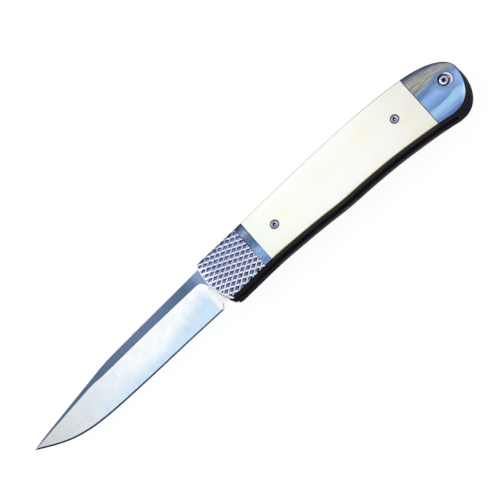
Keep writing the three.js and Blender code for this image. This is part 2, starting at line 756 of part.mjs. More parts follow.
const hiddenScrew = (side) => ([x, y]) => join(
  rod(x, y, hiddenHeadRadius, slotHalf + runningGap, slotHalf + runningGap + hiddenHeadThickness, side),
  rod(x, y, hiddenScrewRadius, slotHalf + runningGap, blindTop, side),
);

const capPin = (side) => ([x, y]) => rod(x, y, pinRadius, slotHalf + fit, blindTop, side);

const spacerPin = ([x, y]) => rod(x, y, pinRadius, -linerOut + fit, linerOut - fit);

const steel = { color: 0x8ea3bd, roughness: 0.28, metalness: 1 };
const bladeSteel = { color: 0xc4d2e0, roughness: 0.3, metalness: 1 };
const darkSteel = { color: 0x2e2d33, roughness: 0.4, metalness: 0.9 };
const screwSteel = { color: 0xb9bccb, roughness: 0.25, metalness: 1 };
const springSteel = { color: 0x6a7076, roughness: 0.35, metalness: 1 };
const bronze = { color: 0xa9743c, roughness: 0.35, metalness: 1 };
const bone = { color: 0xf4f0e0, roughness: 0.35, metalness: 0 };

const knife = new THREE.Group();

function addPiece(name, solid, finish) {
  const mesh = new THREE.Mesh(toGeometry(solid), new THREE.MeshStandardMaterial(finish));
  mesh.name = name;
  knife.add(mesh);
}

function addRepeated(name, places, make, finish) {
  places.forEach((place, i) => addPiece(`${name}_${i + 1}`, make(place), finish));
}

addPiece('blade', makeBlade(), bladeSteel);
addPiece('release_bolster', makeReleaseBolster(), steel);
addRepeated('release_guide_stud', guidePlaces, makeGuideStud, screwSteel);
addPiece('front_collar', makeCollar(), steel);
addRepeated('front_collar_screw', collarScrews, hiddenScrew(1), screwSteel);
addPiece('front_scale', makeScale(1), bone);
addRepeated('front_scale_screw', scaleScrews, scaleScrew(1), screwSteel);
addPiece('front_end_cap', makeEndCap(1), steel);
addPiece('front_end_cap_screw', capScrew(1), screwSteel);
addRepeated('front_end_cap_pin', capPins, capPin(1), screwSteel);
addPiece('front_liner', makeLiner(1), darkSteel);
addPiece('back_liner', makeLiner(-1), darkSteel);
addPiece('back_bolster', makeBackBolster(), steel);
addRepeated('back_bolster_screw', backBolsterScrews, hiddenScrew(-1), screwSteel);
addPiece('back_scale', makeScale(-1), bone);
addRepeated('back_scale_screw', scaleScrews, scaleScrew(-1), screwSteel);
addPiece('back_end_cap', makeEndCap(-1), steel);
addPiece('back_end_cap_screw', capScrew(-1), screwSteel);
addRepeated('back_end_cap_pin', capPins, capPin(-1), screwSteel);
addPiece('backspacer', makeSpacer(), darkSteel);
addRepeated('backspacer_pin', spacerPins, spacerPin, screwSteel);
addPiece('pivot_barrel', makePivotBarrel(), screwSteel);
addPiece('pivot_screw', makeScrew([0, 0], pivotScrewHeadRadius, pivotScrewRadius, face - headRecess,
  pivotScrewHeadThickness, -tangTop + fit, -1), screwSteel);
addPiece('front_washer', makeWasher(pivotRadius + fit, pivotRadius + washerRim, 1), bronze);
addPiece('back_washer', makeWasher(springPocketRadius + fit, springPocketRadius + backWasherRim, -1), bronze);
addPiece('stop_pin', rod(stopPinX, stopPinY, stopPinRadius, -linerOut + fit, linerOut - fit), screwSteel);
addPiece('opening_spring', makeOpeningSpring(), springSteel);
addPiece('lock_spring', makeLockSpring(), springSteel);
const leafScrewSeat = linerOut + leafThickness;
addPiece('lock_spring_screw', join(
  rod(leafScrewX, leafY, hiddenHeadRadius, leafScrewSeat, leafScrewSeat + hiddenHeadThickness),
  rod(leafScrewX, leafY, hiddenScrewRadius, slotHalf + fit, leafScrewSeat + fit),
), screwSteel);

// The footprint of the open knife runs from the blade's tip to the butt, and from the belly to the spine.
const bounds = new THREE.Box3().setFromObject(knife);
const middle = bounds.getCenter(new THREE.Vector3());
knife.position.set(-middle.x, -middle.y, -bounds.min.z);

export default knife;
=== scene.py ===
import itertools
import json
import math
from functools import partial

import bmesh
import bpy
import numpy as np
from mathutils import Matrix, Vector, geometry


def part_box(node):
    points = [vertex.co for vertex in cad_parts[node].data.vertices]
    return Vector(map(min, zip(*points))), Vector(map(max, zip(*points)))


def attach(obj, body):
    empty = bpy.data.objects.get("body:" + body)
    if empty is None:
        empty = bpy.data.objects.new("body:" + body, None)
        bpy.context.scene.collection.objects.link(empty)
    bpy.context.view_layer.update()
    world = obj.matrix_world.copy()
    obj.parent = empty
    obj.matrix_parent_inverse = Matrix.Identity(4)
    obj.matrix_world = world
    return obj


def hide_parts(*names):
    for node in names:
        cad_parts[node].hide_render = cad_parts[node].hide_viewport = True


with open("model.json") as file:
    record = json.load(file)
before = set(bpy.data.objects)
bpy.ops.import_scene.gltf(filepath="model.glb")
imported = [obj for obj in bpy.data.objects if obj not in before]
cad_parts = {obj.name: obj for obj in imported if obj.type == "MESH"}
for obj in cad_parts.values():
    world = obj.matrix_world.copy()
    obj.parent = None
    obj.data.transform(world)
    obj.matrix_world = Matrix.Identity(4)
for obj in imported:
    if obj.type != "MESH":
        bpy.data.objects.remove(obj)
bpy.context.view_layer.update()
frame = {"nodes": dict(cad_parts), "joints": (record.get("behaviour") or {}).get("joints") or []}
foldJoint = next(j for j in frame["joints"] if j["name"] == "blade_fold")
pivot = Vector(foldJoint["pos_m"])
mm = 0.001


def toFrame(x, y, z):  # knife millimetres, counted from the pivot, to the frame's metres
    return (pivot.x + x * mm, pivot.y + y * mm, pivot.z + z * mm)


def hexColour(text):  # sRGB hex to linear, with alpha 1
    parts = [int(text[i : i + 2], 16) / 255 for i in (1, 3, 5)]
    linear = [c / 12.92 if c <= 0.04045 else ((c + 0.055) / 1.055) ** 2.4 for c in parts]
    return (*linear, 1.0)


# Sizes of the knife in millimetres, from the pivot: +x to the butt, +y to the spine, z from mid-blade
layers = {"tang": 1.3, "liner": 2.95, "face": 6.2}

# Where the covers begin and end along the handle, whose own ends are inside -9 and 99, and the screws' places
spans = {"release": (-9, 10.0), "backBolster": (-9, 12.9), "collar": (10.06, 12.9), "scale": (12.94, 81.2),
         "cap": (81.24, 99)}
screwPlaces = {"scaleFront": (20.9, 1.7), "scaleRear": (71.8, 0.55), "cap": (91.7, -0.9), "pivot": (0, 0)}

outlineSizes = {
    "frontReach": 7.95,
    "frontCentreHeight": 3.4,
    "frontRadius": 18,
    "frontSpineHeight": 9.8,
    "frontBellyDepth": 6.7,
    "spineCorner": 1.2,
    "bellyCorner": 2.2,
    "scaleStart": 13.0,
    "capStart": 81.3,
    "buttX": 97.5,
    "buttHeight": 0.1,
    "heelCornerX": 86.75,
    "heelCornerDepth": 11.5,
    "heelPull": (3, 0.9),
    "buttBellyPull": 5.3,
    "buttSpinePull": 3.1,
    "capPull": (3.7, 1.8),
    "spineHeights": [10.1, 10.47, 10.72, 10.9, 10.8, 10.4],
    "bellyDepths": [6.25, 6.5, 7.0, 7.72, 7.9, 8.35, 9.25],
    "capSpineHeight": 9.4,
    "capBellyDepth": 10.5,
}
outlineCounts = {"belly": 130, "heel": 26, "butt": 30, "spine": 120, "topCorner": 10, "front": 24,
                 "lowCorner": 6}
leastGap = 0.02  # between neighbouring points, and inside the liner's end
onCutWithin = 1e-6

crown = {"drop": 0.85, "width": 5, "rim": 0.6, "joint": 0.12, "jointDrop": 0.06}

knurl = {
    "end": 9.8, "low": -8, "high": 11, "ridge": 0.12, "depth": 0.3,
    "a": (1.752, 1.1), "b": (1.68, -0.78), "offset": (0.38, 0.29), "cells": 30,
}


def splinePoints(knots, count):  # uniform Catmull-Rom through the knots
    knots = [np.array(k, float) for k in knots]
    last = len(knots) - 1
    made = []
    for i in range(count + 1):
        place = last * i / count
        k = min(int(place), last - 1)
        t = place - k
        before, a = knots[max(k - 1, 0)], knots[k]
        b, after = knots[k + 1], knots[min(k + 2, last)]
        va, vb = (b - before) / 2, (after - a) / 2
        cubic = (2 * a - 2 * b + va + vb) * t**3 + (3 * b - 3 * a - 2 * va - vb) * t**2
        made.append(cubic + va * t + a)
    return made


def bezierPoints(controls, count):
    controls = [np.array(c, float) for c in controls]
    made = []
    for i in range(count + 1):
        t = i / count
        layer = controls
        while len(layer) > 1:
            layer = [a + (b - a) * t for a, b in zip(layer, layer[1:])]
        made.append(layer[0])
    return made


def handleOutline(s, counts):
    def along(share):
        return s["scaleStart"] + share * (s["capStart"] - s["scaleStart"])

    def spread(heights, sign):
        return [(along(i / len(heights)), sign * h) for i, h in enumerate(heights)]

    centreX = s["frontRadius"] - s["frontReach"]

    def arcX(y):
        return centreX - math.sqrt(s["frontRadius"] ** 2 - (y - s["frontCentreHeight"]) ** 2)

    def angleAt(y):
        return math.pi - math.asin((y - s["frontCentreHeight"]) / s["frontRadius"])

    spine, belly = s["frontSpineHeight"], -s["frontBellyDepth"]
    topCornerY = spine - s["spineCorner"]
    lowCornerY = belly + s["bellyCorner"] / 2
    lowStart = (arcX(belly) + s["bellyCorner"], belly)
    topStart = (arcX(spine) + s["spineCorner"], spine)
    heel = (s["heelCornerX"], -s["heelCornerDepth"])
    butt = (s["buttX"], s["buttHeight"])
    cap = (s["capStart"], s["capSpineHeight"])
    points = splinePoints([lowStart, *spread(s["bellyDepths"], -1), (cap[0], -s["capBellyDepth"]), heel],
                          counts["belly"])
    points += bezierPoints([heel, (butt[0] - s["heelPull"][0], heel[1] - s["heelPull"][1]),
                            (butt[0], butt[1] - s["buttBellyPull"]), butt], counts["heel"])
    points += bezierPoints([butt, (butt[0], butt[1] + s["buttSpinePull"]),
                            (butt[0] - s["capPull"][0], cap[1] - s["capPull"][1]), cap], counts["butt"])
    points += splinePoints([cap, *reversed(spread(s["spineHeights"], 1)), topStart], counts["spine"])
    points += bezierPoints([topStart, (arcX(spine), spine), (arcX(topCornerY), topCornerY)],
                           counts["topCorner"])
    start, end = angleAt(topCornerY), angleAt(lowCornerY)
    for i in range(counts["front"] + 1):
        angle = start + (end - start) * i / counts["front"]
        points.append((centreX + s["frontRadius"] * math.cos(angle),
                       s["frontCentreHeight"] + s["frontRadius"] * math.sin(angle)))
    points += bezierPoints([(arcX(lowCornerY), lowCornerY), (arcX(belly), belly), lowStart],
                           counts["lowCorner"])
    low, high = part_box("front_liner")
    points = np.array([tuple(p) for p in points])
    points[:, 0] = np.minimum(points[:, 0], (high.x - pivot.x) / mm - leastGap)
    points[:, 1] = np.clip(points[:, 1], (low.y - pivot.y) / mm, (high.y - pivot.y) / mm)
    return points[np.linalg.norm(points - np.roll(points, -1, axis=0), axis=1) > leastGap]


outline = handleOutline(outlineSizes, outlineCounts)
print("handle outline:", len(outline), "points")


def distanceToLoop(points, loop):
    a, b = loop, np.roll(loop, -1, axis=0)
    span = b - a
    size = (span**2).sum(1)
    least = np.full(len(points), 1e9)
    for i in range(0, len(points), 2000):
        p = points[i : i + 2000, None, :]
        t = np.clip(((p - a) * span).sum(2) / size, 0, 1)
        nearest = a + t[..., None] * span
        least[i : i + 2000] = np.sqrt(((p - nearest) ** 2).sum(2)).min(1)
    return least


def insideLoop(points, loop):
    inside = np.zeros(len(points), bool)
    for (ax, ay), (bx, by) in zip(loop, np.roll(loop, -1, axis=0)):
        crosses = (ay > points[:, 1]) != (by > points[:, 1])
        if not crosses.any():
            continue
        x = ax + (points[:, 1] - ay) * (bx - ax) / (by - ay if by != ay else 1e-12)
        inside ^= crosses & (points[:, 0] < x)
    return inside


def clipBetween(loop, x0, x1):
    points = [tuple(p) for p in loop]
    for x, side in ((x0, 1), (x1, -1)):
        kept = []
        for p, q in zip(points, points[1:] + points[:1]):
            inP, inQ = side * (p[0] - x) >= 0, side * (q[0] - x) >= 0
            if inP:
                kept.append(p)
            if inP != inQ:
                t = (x - p[0]) / (q[0] - p[0])
                kept.append((x, p[1] + t * (q[1] - p[1])))
        points = kept
    return points


# Distances from the outline at which a cover's face gets points
rimSteps = [crown["rim"] * (1 - math.cos(math.radians(a))) for a in (12, 26, 40, 54, 67, 79, 90)]
crownSteps = [1.0, 1.5, 2.1, 2.8, 3.6, 4.5, 5.4]
leastCut, middleGap = 3, 0.3


def subdivideCuts(points, x0, x1):  # a straight cut across the handle gets points where the face curves
    made = []
    for p, q in zip(points, points[1:] + points[:1]):
        made.append(p)
        onCut = any(max(abs(p[0] - x), abs(q[0] - x)) < onCutWithin for x in (x0, x1))
        length = abs(q[1] - p[1])
        if not onCut or length < leastCut:
            continue
        steps = [d for d in rimSteps + crownSteps if d < length / 2 - middleGap] + [length / 2]
        steps += [length - d for d in reversed(steps[:-1])]
        made += [(p[0], p[1] + (q[1] - p[1]) * d / length) for d in steps]
    return made


def faceDrop(distance):
    bowl = np.where(distance < crown["width"], crown["drop"] * (1 - distance / crown["width"]) ** 2, 0)
    inRim = np.minimum(distance, crown["rim"])
    return bowl + crown["rim"] - np.sqrt(crown["rim"] ** 2 - (crown["rim"] - inRim) ** 2)


def circleLoop(x, y, radius, count=40):
    return [(x + radius * math.cos(2 * math.pi * i / count), y + radius * math.sin(2 * math.pi * i / count))
            for i in range(count)]


def triangulate(loops, loose, keepInside):
    # Loops are closed runs of corners, and loose holds single points. What comes back is the corners, the
    # triangles, and each loop's corners by number
    corners, sides, runs = [], [], []
    for loop in loops:
        first = len(corners)
        corners += [Vector(p) for p in loop]
        run = list(range(first, len(corners)))
        runs.append(run)
        sides += list(zip(run, run[1:] + run[:1]))
    corners += [Vector(p) for p in loose]
    made, _, faces, origins, _, _ = geometry.delaunay_2d_cdt(corners, sides, [], 0, 1e-5)
    renamed = {old: new for new, olds in enumerate(origins) for old in olds}
    flat = np.array([tuple(v) for v in made])
    faces = np.array(faces)
    faces = faces[keepInside(flat[faces].mean(1))]
    return flat, faces, [[renamed[i] for i in run] for run in runs]


class Shell:  # gathers corners and faces of one closed piece, mirrored to the back where side is -1
    def __init__(self, side):
        self.side, self.corners, self.faces, self.kinds = side, [], [], []

    def add(self, points):
        first = len(self.corners)
        self.corners += [(x, y, z * self.side) for x, y, z in points]
        return list(range(first, len(self.corners)))

    def face(self, indices, kind=0):
        self.faces.append(indices if self.side > 0 else indices[::-1])
        self.kinds.append(kind)

    def wall(self, upper, lower, kind=0):
        for a, b, c, d in zip(upper, upper[1:] + upper[:1], lower[1:] + lower[:1], lower):
            self.face([a, d, c, b], kind)

    def build(self, name, materials, sharp=32):
        mesh = bpy.data.meshes.new(name)
        mesh.from_pydata([toFrame(*c) for c in self.corners], [], self.faces)
        for material in materials:
            mesh.materials.append(material)
        mesh.polygons.foreach_set("material_index", self.kinds)
        tidy = bmesh.new()
        tidy.from_mesh(mesh)
        bmesh.ops.remove_doubles(tidy, verts=tidy.verts, dist=1e-7)
        bmesh.ops.dissolve_degenerate(tidy, edges=tidy.edges, dist=1e-8)
        bmesh.ops.recalc_face_normals(tidy, faces=tidy.faces)
        tidy.to_mesh(mesh)
        tidy.free()
        mesh.shade_smooth()
        mesh.set_sharp_from_angle(angle=math.radians(sharp))
        piece = bpy.data.objects.new(name, mesh)
        bpy.context.scene.collection.objects.link(piece)
        return piece


# Materials. One function adds a node with its settings and its inputs: constants, hex colours or sockets
def addNode(tree, kind, inputs=None, out=0, stops=(), **settings):
    node = tree.nodes.new("ShaderNode" + kind)
    for key, value in settings.items():
        setattr(node, key, value)
    for key, value in (inputs or {}).items():
        if isinstance(value, bpy.types.NodeSocket):
            tree.links.new(value, node.inputs[key])
        else:
            node.inputs[key].default_value = hexColour(value) if isinstance(value, str) else value
    for i, (place, colour) in enumerate(stops):
        element = node.color_ramp.elements[i] if i < 2 else node.color_ramp.elements.new(place)
        element.position = place
        element.color = hexColour(colour) if isinstance(colour, str) else (colour, colour, colour, 1)
    return node.outputs[out] if len(node.outputs) else node


def makeMaterial(name, recipe, *given):  # a recipe adds the nodes and returns the shader's inputs
    material = bpy.data.materials.new(name)
    material.use_nodes = True
    material.node_tree.nodes.clear()
    add = partial(addNode, material.node_tree)
    add("OutputMaterial", {"Surface": add("BsdfPrincipled", recipe(add, *given))})
    return material


smoothStep = {"interpolation_type": "SMOOTHSTEP"}
mixed = {"out": 2, "data_type": "RGBA"}
multiplied = {**mixed, "blend_type": "MULTIPLY"}


def knifePlace(add):  # object coordinates turned to knife millimetres from the pivot, and their three axes
    moved = add("VectorMath", {0: add("TexCoord", out="Object"), 1: pivot}, operation="SUBTRACT")
    scaled = add("VectorMath", {0: moved, "Scale": 1 / mm}, operation="SCALE")
    return scaled, add("SeparateXYZ", {0: scaled}).node.outputs


def colourAlong(add, source, stops):  # colours or grey levels at real millimetres or shares of the source
    low, high = stops[0][0], stops[-1][0]
    share = add("MapRange", {"Value": source, "From Min": low, "From Max": high})
    stops = [((place - low) / (high - low), colour) for place, colour in stops]
    return add("ValToRGB", {"Fac": share}, stops=stops)


def grainOf(add, place, spacing, detail=2.0, seed=0.0):  # noise whose grains are spacing = (x, y, z) mm long
    stretched = add("VectorMath", {0: place, 1: tuple(1 / s for s in spacing), 2: (seed, seed, 0)},
                    operation="MULTIPLY_ADD")
    return add("TexNoise", {"Vector": stretched, "Scale": 1.0, "Detail": detail})


def swayed(add, value, grain, reach, shift=0.0):  # a grain moves the value up and down over reach in all
    moved = add("Math", {0: grain, 1: reach, 2: shift - reach / 2}, operation="MULTIPLY_ADD")
    return add("Math", {0: value, 1: moved}, operation="ADD")


def layCoats(add, colour, coats):  # over a colour, one by one: a coat is its tint and the shares it takes
    for tint, share, *others in coats:
        for other in others:
            share = add("Math", {0: share, 1: other}, operation="MULTIPLY")
        colour = add("Mix", {0: share, 6: colour, 7: tint}, **mixed)
    return colour


def steepness(add):  # 0 on a face that looks up or down, 1 on a side wall
    slope = add("SeparateXYZ", {0: add("NewGeometry", out="Normal")}, out="Z")
    return add("Math", {0: 1.0, 1: add("Math", {0: slope}, operation="ABSOLUTE")}, operation="SUBTRACT")


def shadeSidesBlack(add, colour, roughness, start=0.2, end=0.38, spared=0.0):
    # The rim and the side walls of a cover get painted shade, near black, and are made matt, with no mirror
    # of the studio
    side = add("MapRange", {"Value": steepness(add), "From Min": start, "From Max": end}, **smoothStep)
    kept = add("Math", {0: 1.0, 1: spared}, operation="SUBTRACT")
    side = add("Math", {0: side, 1: kept}, operation="MULTIPLY")
    grain = grainOf(add, knifePlace(add)[0], (5, 1, 0.5))
    # Near-black painted shadow for the steep sides
    sideShadow = colourAlong(add, grain, [(0.35, "#0b090c"), (0.7, "#1b1311")])
    inputs = {"Base Color": add("Mix", {0: side, 6: colour, 7: sideShadow}, **mixed)}
    for socket, polished, matt in (("Metallic", 1.0, 0.0), ("Specular IOR Level", 0.5, 0.05),
                                   ("Roughness", roughness, 0.7)):
        inputs[socket] = add("MapRange", {"Value": side, "To Min": polished, "To Max": matt})
    return inputs


def satinFlatSteel(add):
    # Tool steel, flat ground across the stock, with faint cross lines. Its slate grey-blue, changing along
    # the blade and paler by the bolster, is painted reflection
    place, axes = knifePlace(add)
    colour = colourAlong(add, axes["X"], [
        (-84, "#515f78"), (-66, "#586880"), (-60, "#546780"), (-52, "#5a7089"), (-38, "#657b98"),
        (-24, "#64799a"), (-15, "#576c88"), (-11.5, "#6780a4"), (-9.5, "#8a9fc4")])
    lines = grainOf(add, place, (0.16, 2.4, 2.4), 3.0)  # grit lines 0.16 mm apart, as coarse as they show
    shade = colourAlong(add, lines, [(0.3, "#d2d6dc"), (0.7, "#ffffff")])
    return {"Metallic": 1.0, "Roughness": 0.36,
            "Base Color": add("Mix", {0: 0.6, 6: colour, 7: shade}, **multiplied),
            "Normal": add("Bump", {"Strength": 0.12, "Distance": 0.02 * mm, "Height": lines})}


def brushedGrindSteel(add):
    # Tool steel, belt ground square to the edge. Its colour is painted reflection: bright, pale sky blue low
    # down, grey at the tip
    place, axes = knifePlace(add)
    colour = colourAlong(add, axes["X"], [
        (-84, "#c9ccd1"), (-76, "#d5d8da"), (-69, "#dfe2e4"), (-58, "#e4ebef"), (-50, "#f1f5f9"),
        (-42, "#fafbfd"), (-34, "#fefefe")])
    start = add("MapRange", {"Value": axes["X"], "From Min": -34.0, "From Max": -12.0, "To Max": 5.0})
    start = swayed(add, start, grainOf(add, place, (0.9, 9, 9)), 3.6)  # wide belt stripes, about 1 mm apart
    below = add("Math", {0: start, 1: axes["Y"]}, operation="SUBTRACT")
    # Where the painted reflection of pale sky blue lies: low on the grind, away from the tip and the plunge
    paintedSkyReflection = [add("MapRange", {"Value": value, "From Min": low, "From Max": high}, **smoothStep)
           for value, low, high in ((below, 0.0, 5.5), (axes["X"], -66.0, -44.0), (axes["X"], -9.6, -11.2))]
    colour = layCoats(add, colour, [("#d2e9f9", *paintedSkyReflection)])
    lines = grainOf(add, place, (0.2, 3.5, 3.5), 3.0)  # belt lines 0.2 mm apart, as coarse as they show
    for source, stops in ((lines, [(0.3, "#e3e8ee"), (0.7, "#ffffff")]),
                          (grainOf(add, place, (3, 3, 3)), [(0.35, "#eef4f8"), (0.65, "#ffffff")])):
        colour = add("Mix", {0: 0.5, 6: colour, 7: colourAlong(add, source, stops)}, **multiplied)
    return {"Metallic": 1.0, "Roughness": 0.3, "Base Color": colour,
            "Normal": add("Bump", {"Strength": 0.15, "Distance": 0.02 * mm, "Height": lines})}


def honedEdgeSteel(add):
    # The edge bevel, honed on a fine stone, mirrors the dark side: navy, and brown black at the tip
    place, axes = knifePlace(add)
    colour = colourAlong(add, axes["X"], [
        (-84, "#1e191b"), (-79, "#28242e"), (-74, "#2b2d42"), (-60, "#323d62"), (-9, "#3a4a72")])
    shade = colourAlong(add, grainOf(add, place, (0.15, 1, 1)), [(0.3, "#c8ccd8"), (0.7, "#ffffff")])
    return {"Metallic": 1.0, "Roughness": 0.3,
            "Base Color": add("Mix", {0: 0.5, 6: colour, 7: shade}, **multiplied)}


def filedChoilSteel(add):
    # The tang's lower edge ahead of the bolster, filed and eased: near white, with painted shade towards its
    # lower corner, mauve grey, and slate in the notch
    axes = knifePlace(add)[1]
    colour = colourAlong(add, axes["Z"], [
        (-1.3, "#8d8799"), (-0.6, "#bcb3bf"), (0.3, "#fbf8fa"), (1.3, "#fdfcfd")])
    notch = add("MapRange", {"Value": axes["X"], "From Min": -8.0, "From Max": -8.6})
    # Painted shade, slate, in the choil's notch
    slate = colourAlong(add, axes["Z"], [(-1.3, "#67718e"), (0.2, "#a7b0c6"), (1.0, "#fdfcfd")])
    return {"Metallic": 1.0, "Roughness": 0.35,
            "Base Color": add("Mix", {0: notch, 6: colour, 7: slate}, **mixed)}


def polishedCollarSteel(add):
    # Buffed stainless steel strip: lengthwise bands of painted reflection, blue and grey, with painted shade
    # along the joints at both ends, heavier towards the spine
    place, axes = knifePlace(add)
    height = swayed(add, axes["Y"], grainOf(add, place, (2.2, 0.4, 40), 3.0), 3.0)  # hairlines 0.4 mm apart
    colour = colourAlong(add, height, [
        (-6.5, "#7f99c4"), (-5, "#7797c6"), (-3.5, "#8babd8"), (-1, "#9abae4"), (0.8, "#6484b2"),
        (3, "#5d7698"), (5, "#6a7f9c"), (6.3, "#a2aecb"), (7.4, "#6d88a8"), (8.4, "#566682"),
        (9.2, "#434144")])
    shade = colourAlong(add, grainOf(add, place, (0.9, 0.7, 40), 1.0), [(0.36, "#b4bfd2"), (0.5, "#ffffff")])
    colour = add("Mix", {0: 0.8, 6: colour, 7: shade}, **multiplied)
    start, end = spans["collar"]
    # Painted shade along the joints at both ends, less towards the belly
    joint = colourAlong(add, axes["X"], [
        (start + 0.14, 1.0), (start + 0.42, 0.0), (end - 0.34, 0.0), (end - 0.1, 1.0)])
    upper = colourAlong(add, axes["Y"], [(-6.5, 0.2), (0.5, 0.5), (3.5, 1.0)])
    return shadeSidesBlack(add, layCoats(add, colour, [("#2b3350", joint, upper)]), 0.24)


def capHeight(add, place, axes, away):
    # Which band of painted reflection a place is on: the bands follow the spine down to the butt and bend
    # round the screw.
    # The ramp gives the spine's height over the middle line in centimetres, because a ramp holds 0 to 1
    start, end = outlineSizes["capStart"], outlineSizes["buttX"]
    top = outline[(outline[:, 1] > outlineSizes["buttHeight"]) & (outline[:, 0] > start - 3)]
    top = top[np.argsort(top[:, 0])]
    cuts = [start + (end - start) * math.sin(math.pi / 2 * i / 12) for i in range(13)]
    leastHeight = 0.12  # the butt's own height is nearly 0
    heights = [max(float(np.interp(x, *top.T)) / 10, leastHeight) for x in cuts]
    spine = colourAlong(add, axes["X"], list(zip(cuts, heights)))
    upper = add("Math", {0: axes["Y"], 1: 0.0}, operation="MAXIMUM")
    upper = add("Math", {0: upper, 1: spine}, operation="DIVIDE")
    lower = add("Math", {0: axes["Y"], 1: 0.0}, operation="MINIMUM")
    push = add("MapRange", {"Value": away, "From Min": 7.0, "From Max": 1.5, "To Max": 1.8}, **smoothStep)
    above = add("MapRange", {"Value": axes["Y"], "From Min": -3.0, "From Max": 1.0})
    push = add("Math", {0: push, 1: above}, operation="MULTIPLY")
    height = add("Math", {0: upper, 1: lower}, operation="ADD")
    height = add("Math", {0: height, 1: push}, operation="SUBTRACT")
    return swayed(add, height, grainOf(add, place, (11, 2.2, 40)), 1.8)  # long waves in the bands of painted reflection


def polishedCapSteel(add):
    # Buffed stainless steel cap: hairline streaks of painted reflection, blue and straw, run round to the
    # butt, paler blue at the butt itself. Round the screw the cap is painted darker as shade, the screw's
    # mouth is buffed too and has a painted white highlight crescent towards the butt, and the joint with the
    # scale gets painted shade
    place, axes = knifePlace(add)
    centre = (*screwPlaces["cap"], layers["face"])
    away = add("VectorMath", {0: place, 1: centre}, out="Value", operation="DISTANCE")
    fine = grainOf(add, place, (6, 0.3, 40), 3.0)  # hairlines 0.3 mm apart
    height = swayed(add, capHeight(add, place, axes, away), fine, 2.6)
    colour = colourAlong(add, height, [
        (-11, "#547099"), (-10.2, "#6c8cc0"), (-9.2, "#86aadc"), (-7.4, "#a0cbeb"), (-6.3, "#9dc6ea"),
        (-5.5, "#6b8ebe"), (-4.4, "#7fa2d4"), (-3, "#90b4e6"), (-1.8, "#87abdc"), (-0.6, "#6382b0"),
        (0.6, "#6583b4"), (1.8, "#8798b4"), (2.7, "#7a8590"), (3.6, "#98a3a8"), (4.4, "#8f9496"),
        (5.2, "#959c9c"), (6.0, "#929fae"), (6.8, "#8393a8"), (7.6, "#6e7b92"), (8.4, "#4b5c74"),
        (9.1, "#4b5472"), (9.5, "#2b2f45")])
    flecks = grainOf(add, place, (0.7, 0.35, 40), 1.0, 3.0)
    atButt, fleck, near = (
        add("MapRange", {"Value": source, "From Min": low, "From Max": high}, **smoothStep)
        for source, low, high in ((axes["X"], 93.8, 95.6), (flecks, 0.62, 0.7), (away, 6.0, 3.0)))
    level = colourAlong(add, axes["Y"], [(-8, 0.0), (-5, 0.8), (-2.4, 0.8), (-0.6, 0.25), (2.4, 0.0)])
    straw = grainOf(add, place, (5, 0.22, 40), 2.0, 7.0)  # straw and white hairlines 0.2 mm apart
    gold = colourAlong(add, straw, [
        (0.34, "#67707c"), (0.43, "#8b8478"), (0.5, "#a8a286"), (0.55, "#c9b48a"), (0.6, "#8d97a4"),
        (0.66, "#d8dcf0")])
    inStraw = colourAlong(add, height, [(0.9, 0.0), (2.2, 0.7), (6.4, 0.7), (7.8, 0.25), (9.2, 0.0)])
    notButt = add("MapRange", {"Value": axes["X"], "From Min": 96.0, "From Max": 94.0})
    # Painted shade round the screw
    shadeNearScrew = add("MapRange", {"Value": away, "From Min": 4.6, "From Max": 2.4, "To Max": 0.6}, **smoothStep)
    mouthPlace = (centre[0] + 0.65, centre[1] - 0.35, centre[2])
    mouth = add("VectorMath", {0: place, 1: mouthPlace}, out="Value", operation="DISTANCE")
    ring = colourAlong(add, mouth, [(2.4, 1.0), (2.6, 0.8), (2.85, 0.0)])
    # Painted highlight: a white crescent on the mouth's wall towards the butt
    crescentHighlight = colourAlong(add, mouth, [
        (1.2, "#6c7390"), (1.7, "#9a9fba"), (1.9, "#e6e4ee"), (2.12, "#f8f4f6"), (2.28, "#b3a9bf"),
        (2.46, "#5d5780"), (2.75, "#6a75a6")])
    buttward = add("MapRange", {"Value": axes["X"], "From Min": centre[0] + 0.9, "From Max": centre[0] + 1.7})
    start = spans["cap"][0]
    # Painted shade along the joint with the scale
    joint = colourAlong(add, axes["X"], [(start + 0.1, 1.0), (start + 0.34, 0.0)])
    colour = layCoats(add, colour, [
        ("#8fb4e6", atButt, level), (gold, inStraw, notButt), ("#c9d0f0", fleck, near), ("#6d84a6", shadeNearScrew),
        (crescentHighlight, ring, buttward), ("#2a3048", joint)])
    return {**shadeSidesBlack(add, colour, 0.2),
            "Normal": add("Bump", {"Strength": 0.08, "Distance": 0.03 * mm, "Height": fine})}


